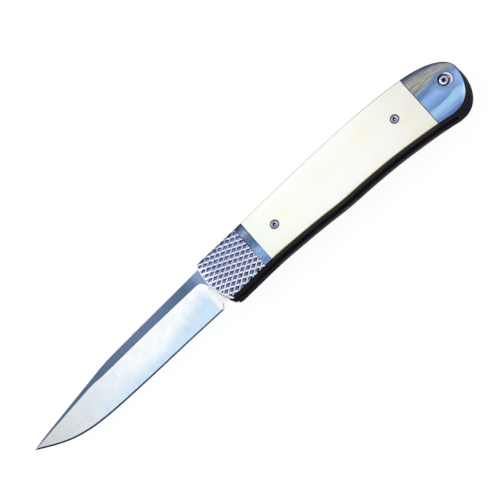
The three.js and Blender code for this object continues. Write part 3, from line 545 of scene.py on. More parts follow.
def knurledSteel(add):
    # Stainless steel with a cut diamond knurl, its light and shade painted. Each pit has a painted highlight
    # on its floor and a navy ring of painted shade round it, heaviest on the wall that faces away from the
    # light, which turns from the spine round to the belly. The lengthwise ridges carry painted highlights
    # between their crossings, stronger on some than others, the cross ridges are dimmer, and the net is
    # painted darker towards the spine
    place, axes = knifePlace(add)
    area = knurl["a"][0] * knurl["b"][1] - knurl["a"][1] * knurl["b"][0]
    cell = []  # place in a cell of the lattice, -0.5 to 0.5 both ways
    for i, (fx, fy) in enumerate(((knurl["b"][1], -knurl["b"][0]), (-knurl["a"][1], knurl["a"][0]))):
        way = (fx / area, fy / area, 0)
        straight = add("VectorMath", {0: place, 1: way}, out="Value", operation="DOT_PRODUCT")
        start = (knurl["offset"][0] * fx + knurl["offset"][1] * fy) / area
        shifted = swayed(add, straight, grainOf(add, place, (0.6, 0.6, 0.6), 2.0, 31.0 * i), 0.16, -start)
        wrapped = add("Math", {0: shifted, 1: 1.0}, operation="FLOORED_MODULO")
        cell.append(add("Math", {0: wrapped, 1: 0.5}, operation="SUBTRACT"))
    upward, across = cell
    spot = add("CombineXYZ", {0: across, 1: upward})
    reach = add("VectorMath", {0: spot}, out="Value", operation="LENGTH")
    way = add("VectorMath", {0: spot}, operation="NORMALIZE")
    uneven = grainOf(add, place, (1.5, 1.5, 1.5), 1.0, 11.0)  # one pit is cut deeper than the next
    # Painted shade: a dark ring round each pit, weighted by the way the light falls
    dark = 0.0
    for direction, low, high, weight in (
        ((0.71, 0.71, 0), -0.3, 0.5, [(-7, 0.9), (10, 0.8)]),
        ((-0.71, 0.71, 0), 0.2, 0.85, [(-7, 0.6), (0, 0.75), (7, 1.0)]),
        ((0.71, -0.71, 0), 0.2, 0.85, [(-6, 1.0), (1, 0.75), (6, 0.0)]),
    ):
        facing = add("VectorMath", {0: way, 1: direction}, out="Value", operation="DOT_PRODUCT")
        part = add("MapRange", {"Value": facing, "From Min": low, "From Max": high}, **smoothStep)
        part = add("Math", {0: part, 1: colourAlong(add, axes["Y"], weight)}, operation="MULTIPLY")
        dark = add("Math", {0: dark, 1: part}, operation="MAXIMUM")
    depth = colourAlong(add, uneven, [(0.3, 0.75), (0.55, 1.0)])
    inRing = colourAlong(add, reach, [(0.04, 0.0), (0.1, 1.0), (0.34, 1.0), (0.42, 0.5)])
    # Painted highlight on each pit's floor
    floor = colourAlong(add, reach, [
        (0.0, "#bcc6e4"), (0.06, "#9fa9cd"), (0.13, "#7983ab"), (0.5, "#7f89b0")])
    offAcross, offUpward = (add("Math", {0: off}, operation="ABSOLUTE") for off in (across, upward))
    cross, along, sheenAndWear = (
        add("MapRange", {"Value": off, "From Min": low, "From Max": high}, **smoothStep)
        for off, low, high in ((offAcross, 0.36, 0.46), (offUpward, 0.32, 0.42), (offAcross, 0.34, 0.1)))
    # The net is painted darker towards the spine
    crossNet = colourAlong(add, axes["Y"], [
        (-7, "#c8dcf6"), (-4.5, "#e8eefc"), (-1, "#d0d7f0"), (4, "#bcc4e2"), (10, "#a0adce")])
    alongNet = colourAlong(add, axes["Y"], [
        (-7, "#b8d0f0"), (-4.5, "#cad8f2"), (-1, "#c7d0ec"), (5, "#c0c9e6"), (8, "#b0bad8"),
        (10, "#a3b0d2")])
    # Painted highlight on the lengthwise ridges between crossings, stronger on some than others
    unevenSheen = colourAlong(add, uneven, [(0.35, 0.55), (0.55, 1.0)])
    alongNet = layCoats(add, alongNet, [("#fbf9ff", sheenAndWear, unevenSheen)])
    # The last row at the spine turns away from the light: black flat dashes in a slate net
    turned = add("MapRange", {"Value": axes["Y"], "From Min": 8.7, "From Max": 9.3}, **smoothStep)
    net = add("Math", {0: cross, 1: along}, operation="MAXIMUM")
    dashes = add("Mix", {0: net, 6: "#22222c", 7: "#9aa6c8"}, **mixed)
    radius = outlineSizes["frontRadius"]
    arcCentre = (radius - outlineSizes["frontReach"], outlineSizes["frontCentreHeight"], 0)
    flat = add("VectorMath", {0: place, 1: (1, 1, 0)}, operation="MULTIPLY")
    far = add("VectorMath", {0: flat, 1: arcCentre}, out="Value", operation="DISTANCE")
    rim = add("MapRange", {"Value": far, "From Min": radius - 0.55, "From Max": radius - 0.4}, **smoothStep)
    # Painted highlight along the front arc's rim, with a grey line of painted shade at its very edge
    rimColour = colourAlong(add, far, [
        (radius - 0.5, "#f4f2fb"), (radius - 0.14, "#f1eff8"), (radius - 0.02, "#b7a9b8")])
    colour = layCoats(add, floor, [
        ("#02030e", dark, depth, inRing), (crossNet, cross), (alongNet, along), (dashes, turned),
        (rimColour, rim)])
    return shadeSidesBlack(add, colour, 0.3, 0.28, 0.5, rim)


def polishedBone(add):
    # Polished bone: ivory white with faint yellow clouds. It is painted a little darker towards the butt as
    # shade, and its rims and side walls get painted shade: grey on the spine's rim, tan to brown down the
    # side walls and darker on the belly's rim, near black on the back scale's sides
    place, axes = knifePlace(add)
    # Ivory, painted a little darker towards the butt as shade
    colour = colourAlong(add, axes["X"], [
        (13, "#f3faf6"), (18, "#fafef6"), (26, "#fefff9"), (40, "#feffff"), (56, "#fcfdf8"),
        (66, "#f8f8f1"), (74, "#f2f2ed"), (82, "#ecece7")])
    clouds = grainOf(add, place, (12, 6, 6))
    pores = grainOf(add, place, (1.6, 0.25, 0.25), 4.0)  # bone pores 0.25 mm wide, along the handle
    for share, source, stops in ((0.7, clouds, [(0.42, "#ffffff"), (0.7, "#fffbea")]),
                                 (0.25, pores, [(0.25, "#f3f0e4"), (0.5, "#ffffff")])):
        colour = add("Mix", {0: share, 6: colour, 7: colourAlong(add, source, stops)}, **multiplied)
    steep = steepness(add)
    spineRim, onSpine, onBelly, onBack = (
        add("MapRange", {"Value": source, "From Min": low, "From Max": high})
        for source, low, high in ((steep, 0.12, 0.4), (axes["Y"], 6.0, 8.0), (axes["Y"], -5.0, -6.0),
                                  (axes["Z"], 0.5, -0.5)))
    # Painted shade on the spine's rim
    spineRimShade = colourAlong(add, axes["X"], [
        (13, "#ddd2da"), (58, "#d8cdd6"), (64, "#6a6f85"), (82, "#656a80")])
    colour = layCoats(add, colour, [(spineRimShade, spineRim, onSpine)])
    # Painted shade down the side walls, darkest by the liner
    sideWallShade = colourAlong(add, add("Math", {0: axes["Z"]}, operation="ABSOLUTE"), [
        (2.9, "#130e0c"), (4.0, "#2a2019"), (4.55, "#64564a"), (4.95, "#a89c88"), (5.25, "#e0d8c4"),
        (5.5, "#ffffff")])
    # Painted shade on the belly's rounded rim
    bellyShade = colourAlong(add, steep, [(0.1, "#ffffff"), (0.24, "#c9bda8"), (0.45, "#54473b")])
    bellyRimShade = add("Mix", {0: onBelly, 6: "#ffffff", 7: bellyShade}, **mixed)
    sideWallShade = add("Mix", {0: 1.0, 6: sideWallShade, 7: bellyRimShade}, **multiplied)
    # Painted shadow on the back scale's side walls
    backSideShadow = colourAlong(add, steep, [(0.1, "#ffffff"), (0.3, "#1a1412")])
    edge = add("Mix", {0: onBack, 6: sideWallShade, 7: backSideShadow}, **mixed)
    return {
        "Base Color": add("Mix", {0: 1.0, 6: colour, 7: edge}, **multiplied),
        "Roughness": add("MapRange", {"Value": clouds, "To Min": 0.26, "To Max": 0.4}),
        "Specular IOR Level": add("MapRange", {"Value": steep, "From Min": 0.2, "From Max": 0.5,
                                               "To Min": 0.5, "To Max": 0.02}),
        "Subsurface Weight": 0.08,
        "Subsurface Radius": (0.0016, 0.0011, 0.0007),
        "Normal": add("Bump", {"Strength": 0.1, "Distance": 0.02 * mm, "Height": pores}),
    }


linerSteels = {
    "darkOxideSteel": {"deep": "#08070b", "light": "#121017", "streak": "#2a2734"},
    # The back liner's copy is lighter, as a painted highlight along its edge
    "filedOxideSteel": {"deep": "#12121b", "light": "#20202b", "streak": "#444653"},
}


def linerSteel(add, look):
    # Steel strip under a black oxide, its edge filed lengthwise: matt and near black, with a few brown spots
    place = knifePlace(add)[0]
    lines = grainOf(add, place, (9, 0.25, 0.25), 3.0)
    colour = colourAlong(add, lines, [(0.3, look["deep"]), (0.62, look["light"]), (0.75, look["streak"])])
    rust = colourAlong(add, grainOf(add, place, (2.5, 1.5, 0.6)), [(0.58, 0.0), (0.75, 1.0)])
    return {"Roughness": 0.7, "Specular IOR Level": 0.03,
            "Base Color": add("Mix", {0: rust, 6: colour, 7: "#1a100c"}, **mixed),
            "Normal": add("Bump", {"Strength": 0.2, "Distance": 0.03 * mm, "Height": lines})}


# Rings and arc are shares of the head's radius
smallHead = {
    "head": 1.35, "towards": (1, 0, 0), "spread": 0.3, "arc": (0.5, 0.66),
    "rings": [(0, "#9fb0cf"), (0.2, "#8e92b8"), (0.3, "#20264a"), (0.46, "#3a3f66"), (0.58, "#a9abc8"),
              (0.74, "#8a8cab"), (0.9, "#77798f"), (1, "#8a8cab")],
}
capHead = {
    "head": 1.65, "towards": (-0.97, -0.24, 0), "spread": -0.1, "arc": (0.62, 0.8),
    "centre": screwPlaces["cap"],
    "rings": [(0, "#8680a4"), (0.36, "#8680a4"), (0.5, "#b5afcc"), (0.72, "#c6c1da"), (0.88, "#6f6890"),
              (1, "#1b1b33")],
}
# The key recess is painted dark as shade, navy, with brown at its middle
keyRings = [(0, "#54483c"), (0.12, "#332d26"), (0.22, "#0e1340"), (0.6, "#14183f")]
screwSteels = {
    "turnedFrontScrewSteel": {**smallHead, "centre": screwPlaces["scaleFront"]},
    "turnedRearScrewSteel": {**smallHead, "centre": screwPlaces["scaleRear"]},
    "turnedCapScrewSteel": capHead,
    "cutKeySteel": {**capHead, "rings": keyRings},
}


def turnedScrewSteel(add, look):
    # Turned and polished screw head: rings of painted reflection, light and dark, round its key recess,
    # darkest at the recess as painted shade, with a painted highlight arc on the side towards the light
    place = knifePlace(add)[0]
    head = look["head"]
    flat = add("VectorMath", {0: place, 1: (1, 1, 0)}, operation="MULTIPLY")
    away = add("VectorMath", {0: flat, 1: (*look["centre"], 0)}, operation="SUBTRACT")
    reach = add("VectorMath", {0: away}, out="Value", operation="LENGTH")
    sheenAndWear = swayed(add, reach, grainOf(add, place, (0.5, 0.5, 0.5)), 0.3 * head)
    colour = colourAlong(add, sheenAndWear, [(share * head, text) for share, text in look["rings"]])
    way = add("VectorMath", {0: away}, operation="NORMALIZE")
    facing = add("VectorMath", {0: way, 1: look["towards"]}, out="Value", operation="DOT_PRODUCT")
    lit = add("MapRange", {"Value": facing, "From Min": look["spread"], "From Max": 1.0}, **smoothStep)
    inner, outer = (share * head for share in look["arc"])
    band = colourAlong(add, reach, [(inner - 0.12, 0.0), (inner, 1.0), (outer, 1.0), (outer + 0.12, 0.0)])
    return {"Metallic": 1.0, "Roughness": 0.2, "Base Color": layCoats(add, colour, [("#fbf9fd", lit, band)])}


grainedMetals = {
    # The spine's corner, eased with a fine stone: a thin line of pale warm grey
    "softenedSpineSteel": {"dark": "#8f8c98", "light": "#c4bdbf", "spacing": (2, 0.3, 0.3), "detail": 2.0,
                           "metallic": 1.0, "roughness": 0.4},
    # Turned screw and pin steel, polished, with faint turning marks
    "plainScrewSteel": {"dark": "#b3b4c6", "light": "#e9e8f4", "spacing": (0.4, 0.4, 0.4), "detail": 3.0,
                        "metallic": 1.0, "roughness": 0.2, "bump": 0.1},
    # The same steel down in a screw's well, painted dark as shade
    "shadedRecessSteel": {"dark": "#15131c", "light": "#3d3d5c", "spacing": (0.3, 0.3, 0.3), "detail": 3.0,
                          "metallic": 0.9, "roughness": 0.35},
    # Spring steel strip, drawn, then blued by its tempering: grey blue with lines along its length
    "bluedSpringSteel": {"dark": "#3c424a", "light": "#6d757e", "spacing": (3, 0.2, 0.2), "detail": 3.0,
                         "metallic": 1.0, "roughness": 0.3, "bump": 0.15},
    # Bronze washers, stamped and oiled: dark brown with a dull shine
    "oiledPhosphorBronze": {"dark": "#2b1d12", "light": "#4d3824", "spacing": (0.3, 0.3, 0.3), "detail": 3.0,
                            "metallic": 1.0, "roughness": 0.5, "bump": 0.15},
}


def grainedMetal(add, look):
    grain = grainOf(add, knifePlace(add)[0], look["spacing"], look["detail"])
    inputs = {"Metallic": look["metallic"], "Roughness": look["roughness"],
              "Base Color": colourAlong(add, grain, [(0.3, look["dark"]), (0.7, look["light"])])}
    if "bump" in look:
        inputs["Normal"] = add("Bump", {"Strength": look["bump"], "Distance": 0.02 * mm, "Height": grain})
    return inputs


materials = {}
for recipe in (satinFlatSteel, brushedGrindSteel, honedEdgeSteel, filedChoilSteel, polishedCollarSteel,
               polishedCapSteel, knurledSteel, polishedBone):
    materials[recipe.__name__] = makeMaterial(recipe.__name__, recipe)
for looks, recipe in ((linerSteels, linerSteel), (screwSteels, turnedScrewSteel),
                      (grainedMetals, grainedMetal)):
    for name, look in looks.items():
        materials[name] = makeMaterial(name, recipe, look)
print("materials:", len(materials))

# Covers of the handle: crowned plates cut from the outline, with wells for the screws
coverFinishes = ["knurledSteel", "polishedCollarSteel", "polishedBone", "polishedCapSteel",
                 "shadedRecessSteel"]
scaleWell = {"radius": 1.6, "mouth": 0.12, "floor": 4.75, "shank": 1.05, "finish": "polishedBone"}
capWell = {"radius": 1.95, "mouth": 0.18, "floor": 4.75, "shank": 1.25, "finish": "polishedCapSteel"}
pivotWell = {"radius": 3.45, "mouth": 0.15, "floor": 4.8, "shank": 2.6, "finish": "shadedRecessSteel"}

# Where the corners of a cover's face lie, in millimetres apart from the row's share, and how the knurl ends
coverGrid = {"row": 0.866, "fromOutline": 1.2, "lastRing": 1.0, "seamLine": 0.06, "fromBorder": 0.03,
             "fromWell": 0.12, "wellRing": 0.3, "pitFromOutline": 0.04, "pastKnurl": 0.2, "slack": 0.01}
# Shares of a well's radii: a triangle whose middle is nearer than that to the well's centre is left out
wellShares = {"mouth": 0.995, "shank": 0.99}
knurlFade = {"outline": 0.35, "frontBorder": 0.45, "front": 0.2, "end": 0.3}


def knurlPit(points):  # 0 on a ridge, 1 in the middle of a pit
    lattice = np.array([knurl["a"], knurl["b"]]).T
    cell = (np.linalg.solve(lattice, (points - knurl["offset"]).T).T) % 1
    nearest = np.minimum(cell, 1 - cell).min(1)
    return np.clip((nearest - knurl["ridge"]) / (0.5 - knurl["ridge"]), 0, 1)


def knurlPoints(x0, x1):
    steps = [0, knurl["ridge"], 0.3, 0.5, 0.7, 1 - knurl["ridge"]]
    cells = range(-knurl["cells"], knurl["cells"])
    made = []
    for i, j, p, q in itertools.product(cells, cells, steps, steps):
        x, y = (knurl["offset"][k] + (i + p) * knurl["a"][k] + (j + q) * knurl["b"][k] for k in (0, 1))
        if x0 < x < x1 and knurl["low"] < y < knurl["high"]:
            made.append((x, y))
    return np.array(made)


def pastWells(points, wells, reaches):  # True for points farther from each well's centre than its reach
    far = [np.hypot(*(points - centre).T) > reach for (centre, _), reach in zip(wells, reaches)]
    return np.all(far, axis=0) if wells else np.full(len(points), True)


def coverPoints(border, x0, x1, wells, knurled, spacing):  # a grid, rings along the rim, joints and wells
    (left, bottom), (right, top) = border.min(0), border.max(0)
    xs, ys = np.arange(left, right, spacing), np.arange(bottom, top, spacing * coverGrid["row"])
    grid = np.array([(x + (i % 2) * spacing / 2, y) for i, y in enumerate(ys) for x in xs])
    grid = grid[distanceToLoop(grid, outline) > coverGrid["fromOutline"]]
    normals = np.roll(outline, -1, axis=0) - np.roll(outline, 1, axis=0)
    normals = np.stack([-normals[:, 1], normals[:, 0]], 1) / np.linalg.norm(normals, axis=1)[:, None]
    rings = [(outline + normals * d, d) for d in [*rimSteps, coverGrid["lastRing"]]]
    rim = np.concatenate([r[np.abs(distanceToLoop(r, outline) - d) < coverGrid["slack"]] for r, d in rings])
    groups = [grid, rim]
    if knurled:
        pits = knurlPoints(x0, knurl["end"])
        groups = [pits[distanceToLoop(pits, outline) > coverGrid["pitFromOutline"]],
                  grid[grid[:, 0] > knurl["end"] + coverGrid["pastKnurl"]], rim[rim[:, 0] > knurl["end"]]]
    for x, inward in ((x0, 1), (x1, -1)):
        cut = border[np.abs(border[:, 0] - x) < onCutWithin]
        for d in (coverGrid["seamLine"], crown["joint"]):
            groups.append(np.stack([np.full(len(cut), x + inward * d), cut[:, 1]], 1))
    points = np.concatenate(groups)
    points = points[insideLoop(points, border) & (distanceToLoop(points, border) > coverGrid["fromBorder"])]
    mouths = [well["radius"] + well["mouth"] for _, well in wells]
    points = points[pastWells(points, wells, [mouth + coverGrid["fromWell"] for mouth in mouths])]
    rings = [circleLoop(*centre, mouth + coverGrid["wellRing"]) for (centre, _), mouth in zip(wells, mouths)]
    return np.concatenate([points, *rings])


def coverHeight(points, cuts, knurled):
    toOutline = distanceToLoop(points, outline)
    toCut = np.min([np.abs(points[:, 0] - x) for x in cuts], axis=0)
    height = layers["face"] - faceDrop(toOutline)
    height -= crown["jointDrop"] * np.clip(1 - toCut / crown["joint"], 0, 1) ** 2
    if knurled:
        radius, reach = outlineSizes["frontRadius"], outlineSizes["frontReach"]
        toArc = radius - np.hypot(points[:, 0] - radius + reach,
                                  points[:, 1] - outlineSizes["frontCentreHeight"])
        fade = np.clip(toOutline / knurlFade["outline"], 0, 1)
        fade *= np.clip((toArc - knurlFade["frontBorder"]) / knurlFade["front"], 0, 1)
        fade *= np.clip((knurl["end"] - points[:, 0]) / knurlFade["end"], 0, 1)
        height -= knurl["depth"] * knurlPit(points) * fade
    return height


def coverPiece(name, span, side, finish, wells=(), knurled=False, spacing=0.9):
    def kindAt(place):  # the finish is named, or a function of the place
        return coverFinishes.index(finish(place) if callable(finish) else finish)

    def keptWith(radii, share):
        reaches = [radius * share for radius in radii]
        return lambda middles: insideLoop(middles, border) & pastWells(middles, wells, reaches)

    border = np.array(subdivideCuts(clipBetween(outline, *span), *span))
    cuts = [x for x in span if np.abs(border[:, 0] - x).min() < onCutWithin]
    mouths = [well["radius"] + well["mouth"] for _, well in wells]
    holes = [circleLoop(*centre, mouth) for (centre, _), mouth in zip(wells, mouths)]
    flat, faces, runs = triangulate([border, *holes], coverPoints(border, *span, wells, knurled, spacing),
                                    keptWith(mouths, wellShares["mouth"]))
    height = coverHeight(flat, cuts, knurled)
    shell = Shell(side)
    top = shell.add([(x, y, z) for (x, y), z in zip(flat, height)])
    for face, middle in zip(faces, flat[faces].mean(1)):
        shell.face([top[i] for i in face], kindAt(middle))
    shanks = [well["shank"] for _, well in wells]
    holes = [circleLoop(*centre, shank) for (centre, _), shank in zip(wells, shanks)]
    baseFlat, baseFaces, baseRuns = triangulate([border, *holes], [], keptWith(shanks, wellShares["shank"]))
    base = shell.add([(x, y, layers["liner"]) for x, y in baseFlat])
    for face in baseFaces:
        shell.face([base[i] for i in face[::-1]], kindAt(baseFlat[face].mean(0)))
    upper, lower = [top[i] for i in runs[0]], [base[i] for i in baseRuns[0]]
    for a, b, c, d, place in zip(upper, upper[1:] + upper[:1], lower[1:] + lower[:1], lower, border):
        shell.face([a, d, c, b], kindAt(place))
    for (centre, well), run, baseRun in zip(wells, runs[1:], baseRuns[1:]):
        brim = np.mean([height[i] for i in run]) - well["mouth"]
        rings = [[top[i] for i in run]]
        for radius, z in ((well["radius"], brim), (well["radius"], well["floor"]),
                          (well["shank"], well["floor"])):
            rings.append(shell.add([(x, y, z) for x, y in circleLoop(*centre, radius)]))
        rings.append([base[i] for i in baseRun])
        for i, (upper, lower) in enumerate(zip(rings, rings[1:])):
            shell.wall(lower, upper, coverFinishes.index(well["finish"]) if i else kindAt(centre))
    piece = shell.build(name, [materials[k] for k in coverFinishes], 30 if knurled else 32)
    print("cover", name, len(piece.data.polygons), "faces")
    return piece


def knurledToCollar(place):
    return "knurledSteel" if place[0] < knurl["end"] else "polishedCollarSteel"


scaleWells = [(screwPlaces["scaleFront"], scaleWell), (screwPlaces["scaleRear"], scaleWell)]
capWells = [(screwPlaces["cap"], capWell)]
pivotWells = [(screwPlaces["pivot"], pivotWell)]
pieces = {
    "release_bolster": coverPiece("releaseBolster", spans["release"], 1, "knurledSteel", knurled=True),
    "front_collar": coverPiece("frontCollar", spans["collar"], 1, "polishedCollarSteel", spacing=0.6),
    "front_scale": coverPiece("frontScale", spans["scale"], 1, "polishedBone", scaleWells),
    "front_end_cap": coverPiece("frontEndCap", spans["cap"], 1, "polishedCapSteel", capWells),
    "back_bolster": coverPiece("backBolster", spans["backBolster"], -1, knurledToCollar, pivotWells,
                               knurled=True),
    "back_scale": coverPiece("backScale", spans["scale"], -1, "polishedBone", scaleWells),
    "back_end_cap": coverPiece("backEndCap", spans["cap"], -1, "polishedCapSteel", capWells),
}

slots = {"bone": "bone", "screw": "screw_steel", "bolster": "bolster_steel", "blade": "blade_steel"}
for node, piece in pieces.items():
    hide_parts(node)
    slots["bone"] if "scale" in node else slots["bolster"]
    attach(piece, "release_bolster" if node == "release_bolster" else "handle")

# Screws: turned heads with a six-lobed key recess. The shape's numbers are shares of the head's radius or
# thickness, those of the easing shares of the chamfer, and two are millimetres
screwSizes = {
    "scale": {"head": 1.35, "shank": 0.9, "face": 5.95, "thick": 1.1, "tip": 1.65, "lobe": 0.14},
    "cap": {"head": 1.65, "shank": 1.1, "face": 5.95, "thick": 1.1, "tip": 0.1, "lobe": 0.22},
    "pivot": {"head": 3.3, "shank": 1.35, "face": 5.95, "thick": 1.1, "tip": -1.2, "lobe": 0.14},
}
screwSides = 36
screwShape = {"chamfer": 0.16, "easing": (0.3, 0.35), "key": (0.58, 0.52, 0.5), "keyDepth": 0.6,
              "keyEasing": 0.1, "tipChamfer": 0.2}


def lobedLoop(x, y, radius, lobe):
    made = []
    for i in range(screwSides):
        angle = 2 * math.pi * i / screwSides
        reach = radius * (1 - lobe + lobe * math.cos(6 * angle))
        made.append((x + reach * math.cos(angle), y + reach * math.sin(angle)))
    return made


def screwPiece(name, centre, size, side, finishes):
    shell = Shell(side)
    head, shank, face, tip = (size[key] for key in ("head", "shank", "face", "tip"))
    seat, chamfer, (inward, down) = face - size["thick"], head * screwShape["chamfer"], screwShape["easing"]
    rings = [(head - chamfer, face), (head - chamfer * inward, face - chamfer * down), (head, face - chamfer),
             (head, seat), (shank, seat), (shank, tip + screwShape["tipChamfer"]),
             (shank - screwShape["tipChamfer"], tip)]
    loops = [shell.add([(x, y, z) for x, y in circleLoop(*centre, radius, screwSides)])
             for radius, z in rings]
    for upper, lower in zip(loops, loops[1:]):
        shell.wall(upper, lower)
    end = shell.add([(*centre, tip)])[0]
    for a, b in zip(loops[-1], loops[-1][1:] + loops[-1][:1]):
        shell.face([a, end, b])
    floor = face - size["thick"] * screwShape["keyDepth"]
    mouth, ledge, bottom = (
        shell.add([(x, y, z) for x, y in lobedLoop(*centre, head * share, size["lobe"])])
        for share, z in zip(screwShape["key"], (face, face - screwShape["keyEasing"], floor)))
    shell.wall(mouth, loops[0])
    shell.wall(ledge, mouth)
    shell.wall(bottom, ledge, 1)
    middle = shell.add([(*centre, floor - screwShape["keyEasing"])])[0]
    for a, b in zip(bottom, bottom[1:] + bottom[:1]):
        shell.face([a, b, middle], 1)
    piece = shell.build(name, [materials[k] for k in finishes])
    return piece


coverScrews = {  # place, size, and the finishes of the head and of its key
    "scale_screw_1": ("scaleFront", "scale", ["turnedFrontScrewSteel"] * 2),
    "scale_screw_2": ("scaleRear", "scale", ["turnedRearScrewSteel"] * 2),
    "end_cap_screw": ("cap", "cap", ["turnedCapScrewSteel", "cutKeySteel"]),
}
for sideName, side in (("front", 1), ("back", -1)):
    for node, (place, size, finish) in coverScrews.items():
        node = f"{sideName}_{node}"
        piece = screwPiece(f"{node}_turned", screwPlaces[place], screwSizes[size], side, finish)
        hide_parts(node)
        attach(piece, "handle")
piece = screwPiece("pivot_screw_turned", screwPlaces["pivot"], screwSizes["pivot"], -1,
                   ["plainScrewSteel", "shadedRecessSteel"])
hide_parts("pivot_screw")
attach(piece, "handle")
print("screws made")

# Blade: lofted through cross-sections, with a flat strip, a flat grind, a plunge and an edge bevel
bladeFinishes = ["satinFlatSteel", "brushedGrindSteel", "honedEdgeSteel", "softenedSpineSteel",
                 "filedChoilSteel"]
strip, ground, edge, spineEdge, choil = range(len(bladeFinishes))
blade = {
    "reach": 85, "heel": 9.85, "edgeDrop": 6.05, "bevel": (0.42, 0.62), "edgeHalf": 0.03, "bevelHalf": 0.26,
    "tipHalf": 0.14, "taperStart": 0.6, "tangDrop": 4.95, "tangRadius": 7.4, "shoulder": 5,
    "shoulderTop": 8.3, "shoulderRun": 3, "spineSoft": 0.2, "plungeRun": 0.9, "choilDrop": 4.5,
    "choil": (-9.7, -8.2, -6.5, -4), "underBolster": -7.0, "spineEdgeEnd": -8, "swellBefore": 2,
    "leastStrip": 0.04, "mostBevel": 0.5, "leastGrind": 0.3, "tipLow": 0.6, "mostSoft": (0.1, 0.4),
    "spine": [(0, 9.48), (0.43, 8.13), (0.54, 7.56), (0.632, 6.55), (0.8, 4.74), (0.93, 3.27), (1, 2.12)],
    "grind": [(0, 5.81), (0.3, 5.38), (0.56, 4.75), (0.63, 4.86), (0.72, 4.25), (0.86, 3.15), (1, 2)],
    "belly": [(0, 0.03), (0.2, -0.02), (0.4, -0.22), (0.6, -0.2), (0.7, 0.12), (0.77, 0.78), (0.845, 2.2),
              (0.92, 4.65), (1, 7.98)],
}
bladeCuts = {"blade": 150, "skipped": 3, "crowding": 1.25, "ricasso": 44, "tang": 14, "shoulder": 8,
             "rear": 14}
grindRows = 16
bladeSharp = 14  # degrees
profiles = {key: np.array([tuple(p) for p in splinePoints(blade[key], 120)])
            for key in ("spine", "grind", "belly")}


def profileHeight(key, share):
    return float(np.interp(share, profiles[key][:, 0], profiles[key][:, 1]))


def smooth(value, low, high):
    t = min(max((value - low) / (high - low), 0), 1)
    return t * t * (3 - 2 * t)


def lerp(a, b, t):
    return a + (b - a) * t


def bladeShare(x):  # 0 at the heel, 1 at the tip, and below 0 in the tang
    return (-blade["heel"] - x) / (blade["reach"] - blade["heel"])


def tangArc(x):  # half the height of the tang's round end
    return math.sqrt(max(0, blade["tangRadius"] ** 2 - x * x))


def spineY(x):
    share = bladeShare(x)
    if share >= 0:
        return profileHeight("spine", share)
    start, (nextShare, nextHeight) = blade["spine"][0][1], blade["spine"][1]
    slope = (start - nextHeight) / (nextShare * (blade["reach"] - blade["heel"]))
    level = start + slope * (x + blade["heel"])
    roundStart = blade["shoulder"] - blade["shoulderRun"]
    if x <= roundStart:
        return level
    if x <= blade["shoulder"]:
        t = (x - roundStart) / blade["shoulderRun"]
        return lerp(level, blade["shoulderTop"], 1 - math.sqrt(max(0, 1 - t * t)))
    return tangArc(x)


def bottomY(x):
    share = bladeShare(x)
    if share >= 0:
        return profileHeight("belly", share) - blade["edgeDrop"]
    if x > 0:
        return -min(blade["tangDrop"], tangArc(x))
    choilStart, choilTop, tangStart, tangLevel = blade["choil"]
    notch = lerp(-blade["choilDrop"], -blade["tangDrop"], smooth(x, tangStart, tangLevel))
    return lerp(-blade["edgeDrop"], notch, smooth(x, choilStart, choilTop))


# The plunge line, where the grind runs out: a rounded corner, then under the bolster
plunge = np.array([
    (-12, 5.8), (-10.9, 5.74), (-10.3, 5.6), (-9.85, 5.36), (-9.45, 5.0), (-9.1, 4.5), (-8.8, 3.9),
    (-8.5, 3.2), (-8.2, 2.7), (-7.6, 2.4), (-5.4, 2.1), (-4.4, -6.2)])


def plungeX(y):
    return float(np.interp(-y, -plunge[:, 1], plunge[:, 0]))


def bladeSection(x):  # rows from spine to edge: height, half the thickness, and the finish above the row
    share = min(max(bladeShare(x), 0), 1)
    top, bottom = spineY(x), bottomY(x)
    depth = top - bottom
    level = min(profileHeight("grind", share), top - depth * blade["leastStrip"])
    bevel = bottom + min(lerp(*blade["bevel"], share), depth * blade["mostBevel"])
    grind = level
    if x > plunge[0, 0]:
        grind = max(min(float(np.interp(x, plunge[:, 0], plunge[:, 1])), level), bevel + blade["leastGrind"])
    taper = max(0, share - blade["taperStart"]) / (1 - blade["taperStart"])
    flat = lerp(layers["tang"], blade["tipHalf"], taper)
    low = lerp(blade["bevelHalf"], blade["tipHalf"] * blade["tipLow"], taper)
    soft = min(blade["spineSoft"], depth * blade["mostSoft"][0], flat * blade["mostSoft"][1])

    def half(y, thin):  # the ground half thickness, which swells to the tang's past the plunge
        run = smooth(x, plungeX(y) - blade["plungeRun"], plungeX(y))
        return lerp(thin, layers["tang"], run) if x > -blade["heel"] - blade["swellBefore"] else thin

    rows = [(top, flat - soft, spineEdge), (top - soft * 0.3, flat - soft * 0.3, spineEdge),
            (top - soft, flat, spineEdge)]
    rows += [(lerp(top - soft, grind, t), flat, strip) for t in (0.33, 0.66, 1)]
    for i in range(1, grindRows + 1):
        y = lerp(grind, bevel, i / grindRows)
        rows.append((y, half(y, lerp(flat, low, min((level - y) / (level - bevel), 1))), ground))
    rows.append((bottom, half(bottom, blade["edgeHalf"]), edge))
    return rows


def bladeSteps():  # where the cross-sections are, from the tip to the tang's round end
    heel, shoulder, run = blade["heel"], blade["shoulder"], blade["shoulderRun"]
    crowded = [(i / bladeCuts["blade"]) ** bladeCuts["crowding"]
               for i in range(bladeCuts["blade"] + 1 - bladeCuts["skipped"])]
    xs = [-heel - (blade["reach"] - heel) * (1 - share) for share in crowded]
    for end, count in ((blade["underBolster"], bladeCuts["ricasso"]), (shoulder - run, bladeCuts["tang"]),
                       (shoulder, bladeCuts["shoulder"])):
        xs += [lerp(xs[-1], end, i / count) for i in range(1, count + 1)]
    rear = blade["tangRadius"] - shoulder - 0.06
    quarter = [math.sin(math.pi / 2 * i / bladeCuts["rear"]) for i in range(bladeCuts["rear"] + 1)]
    return xs + [shoulder + 0.02 + rear * share for share in quarter]


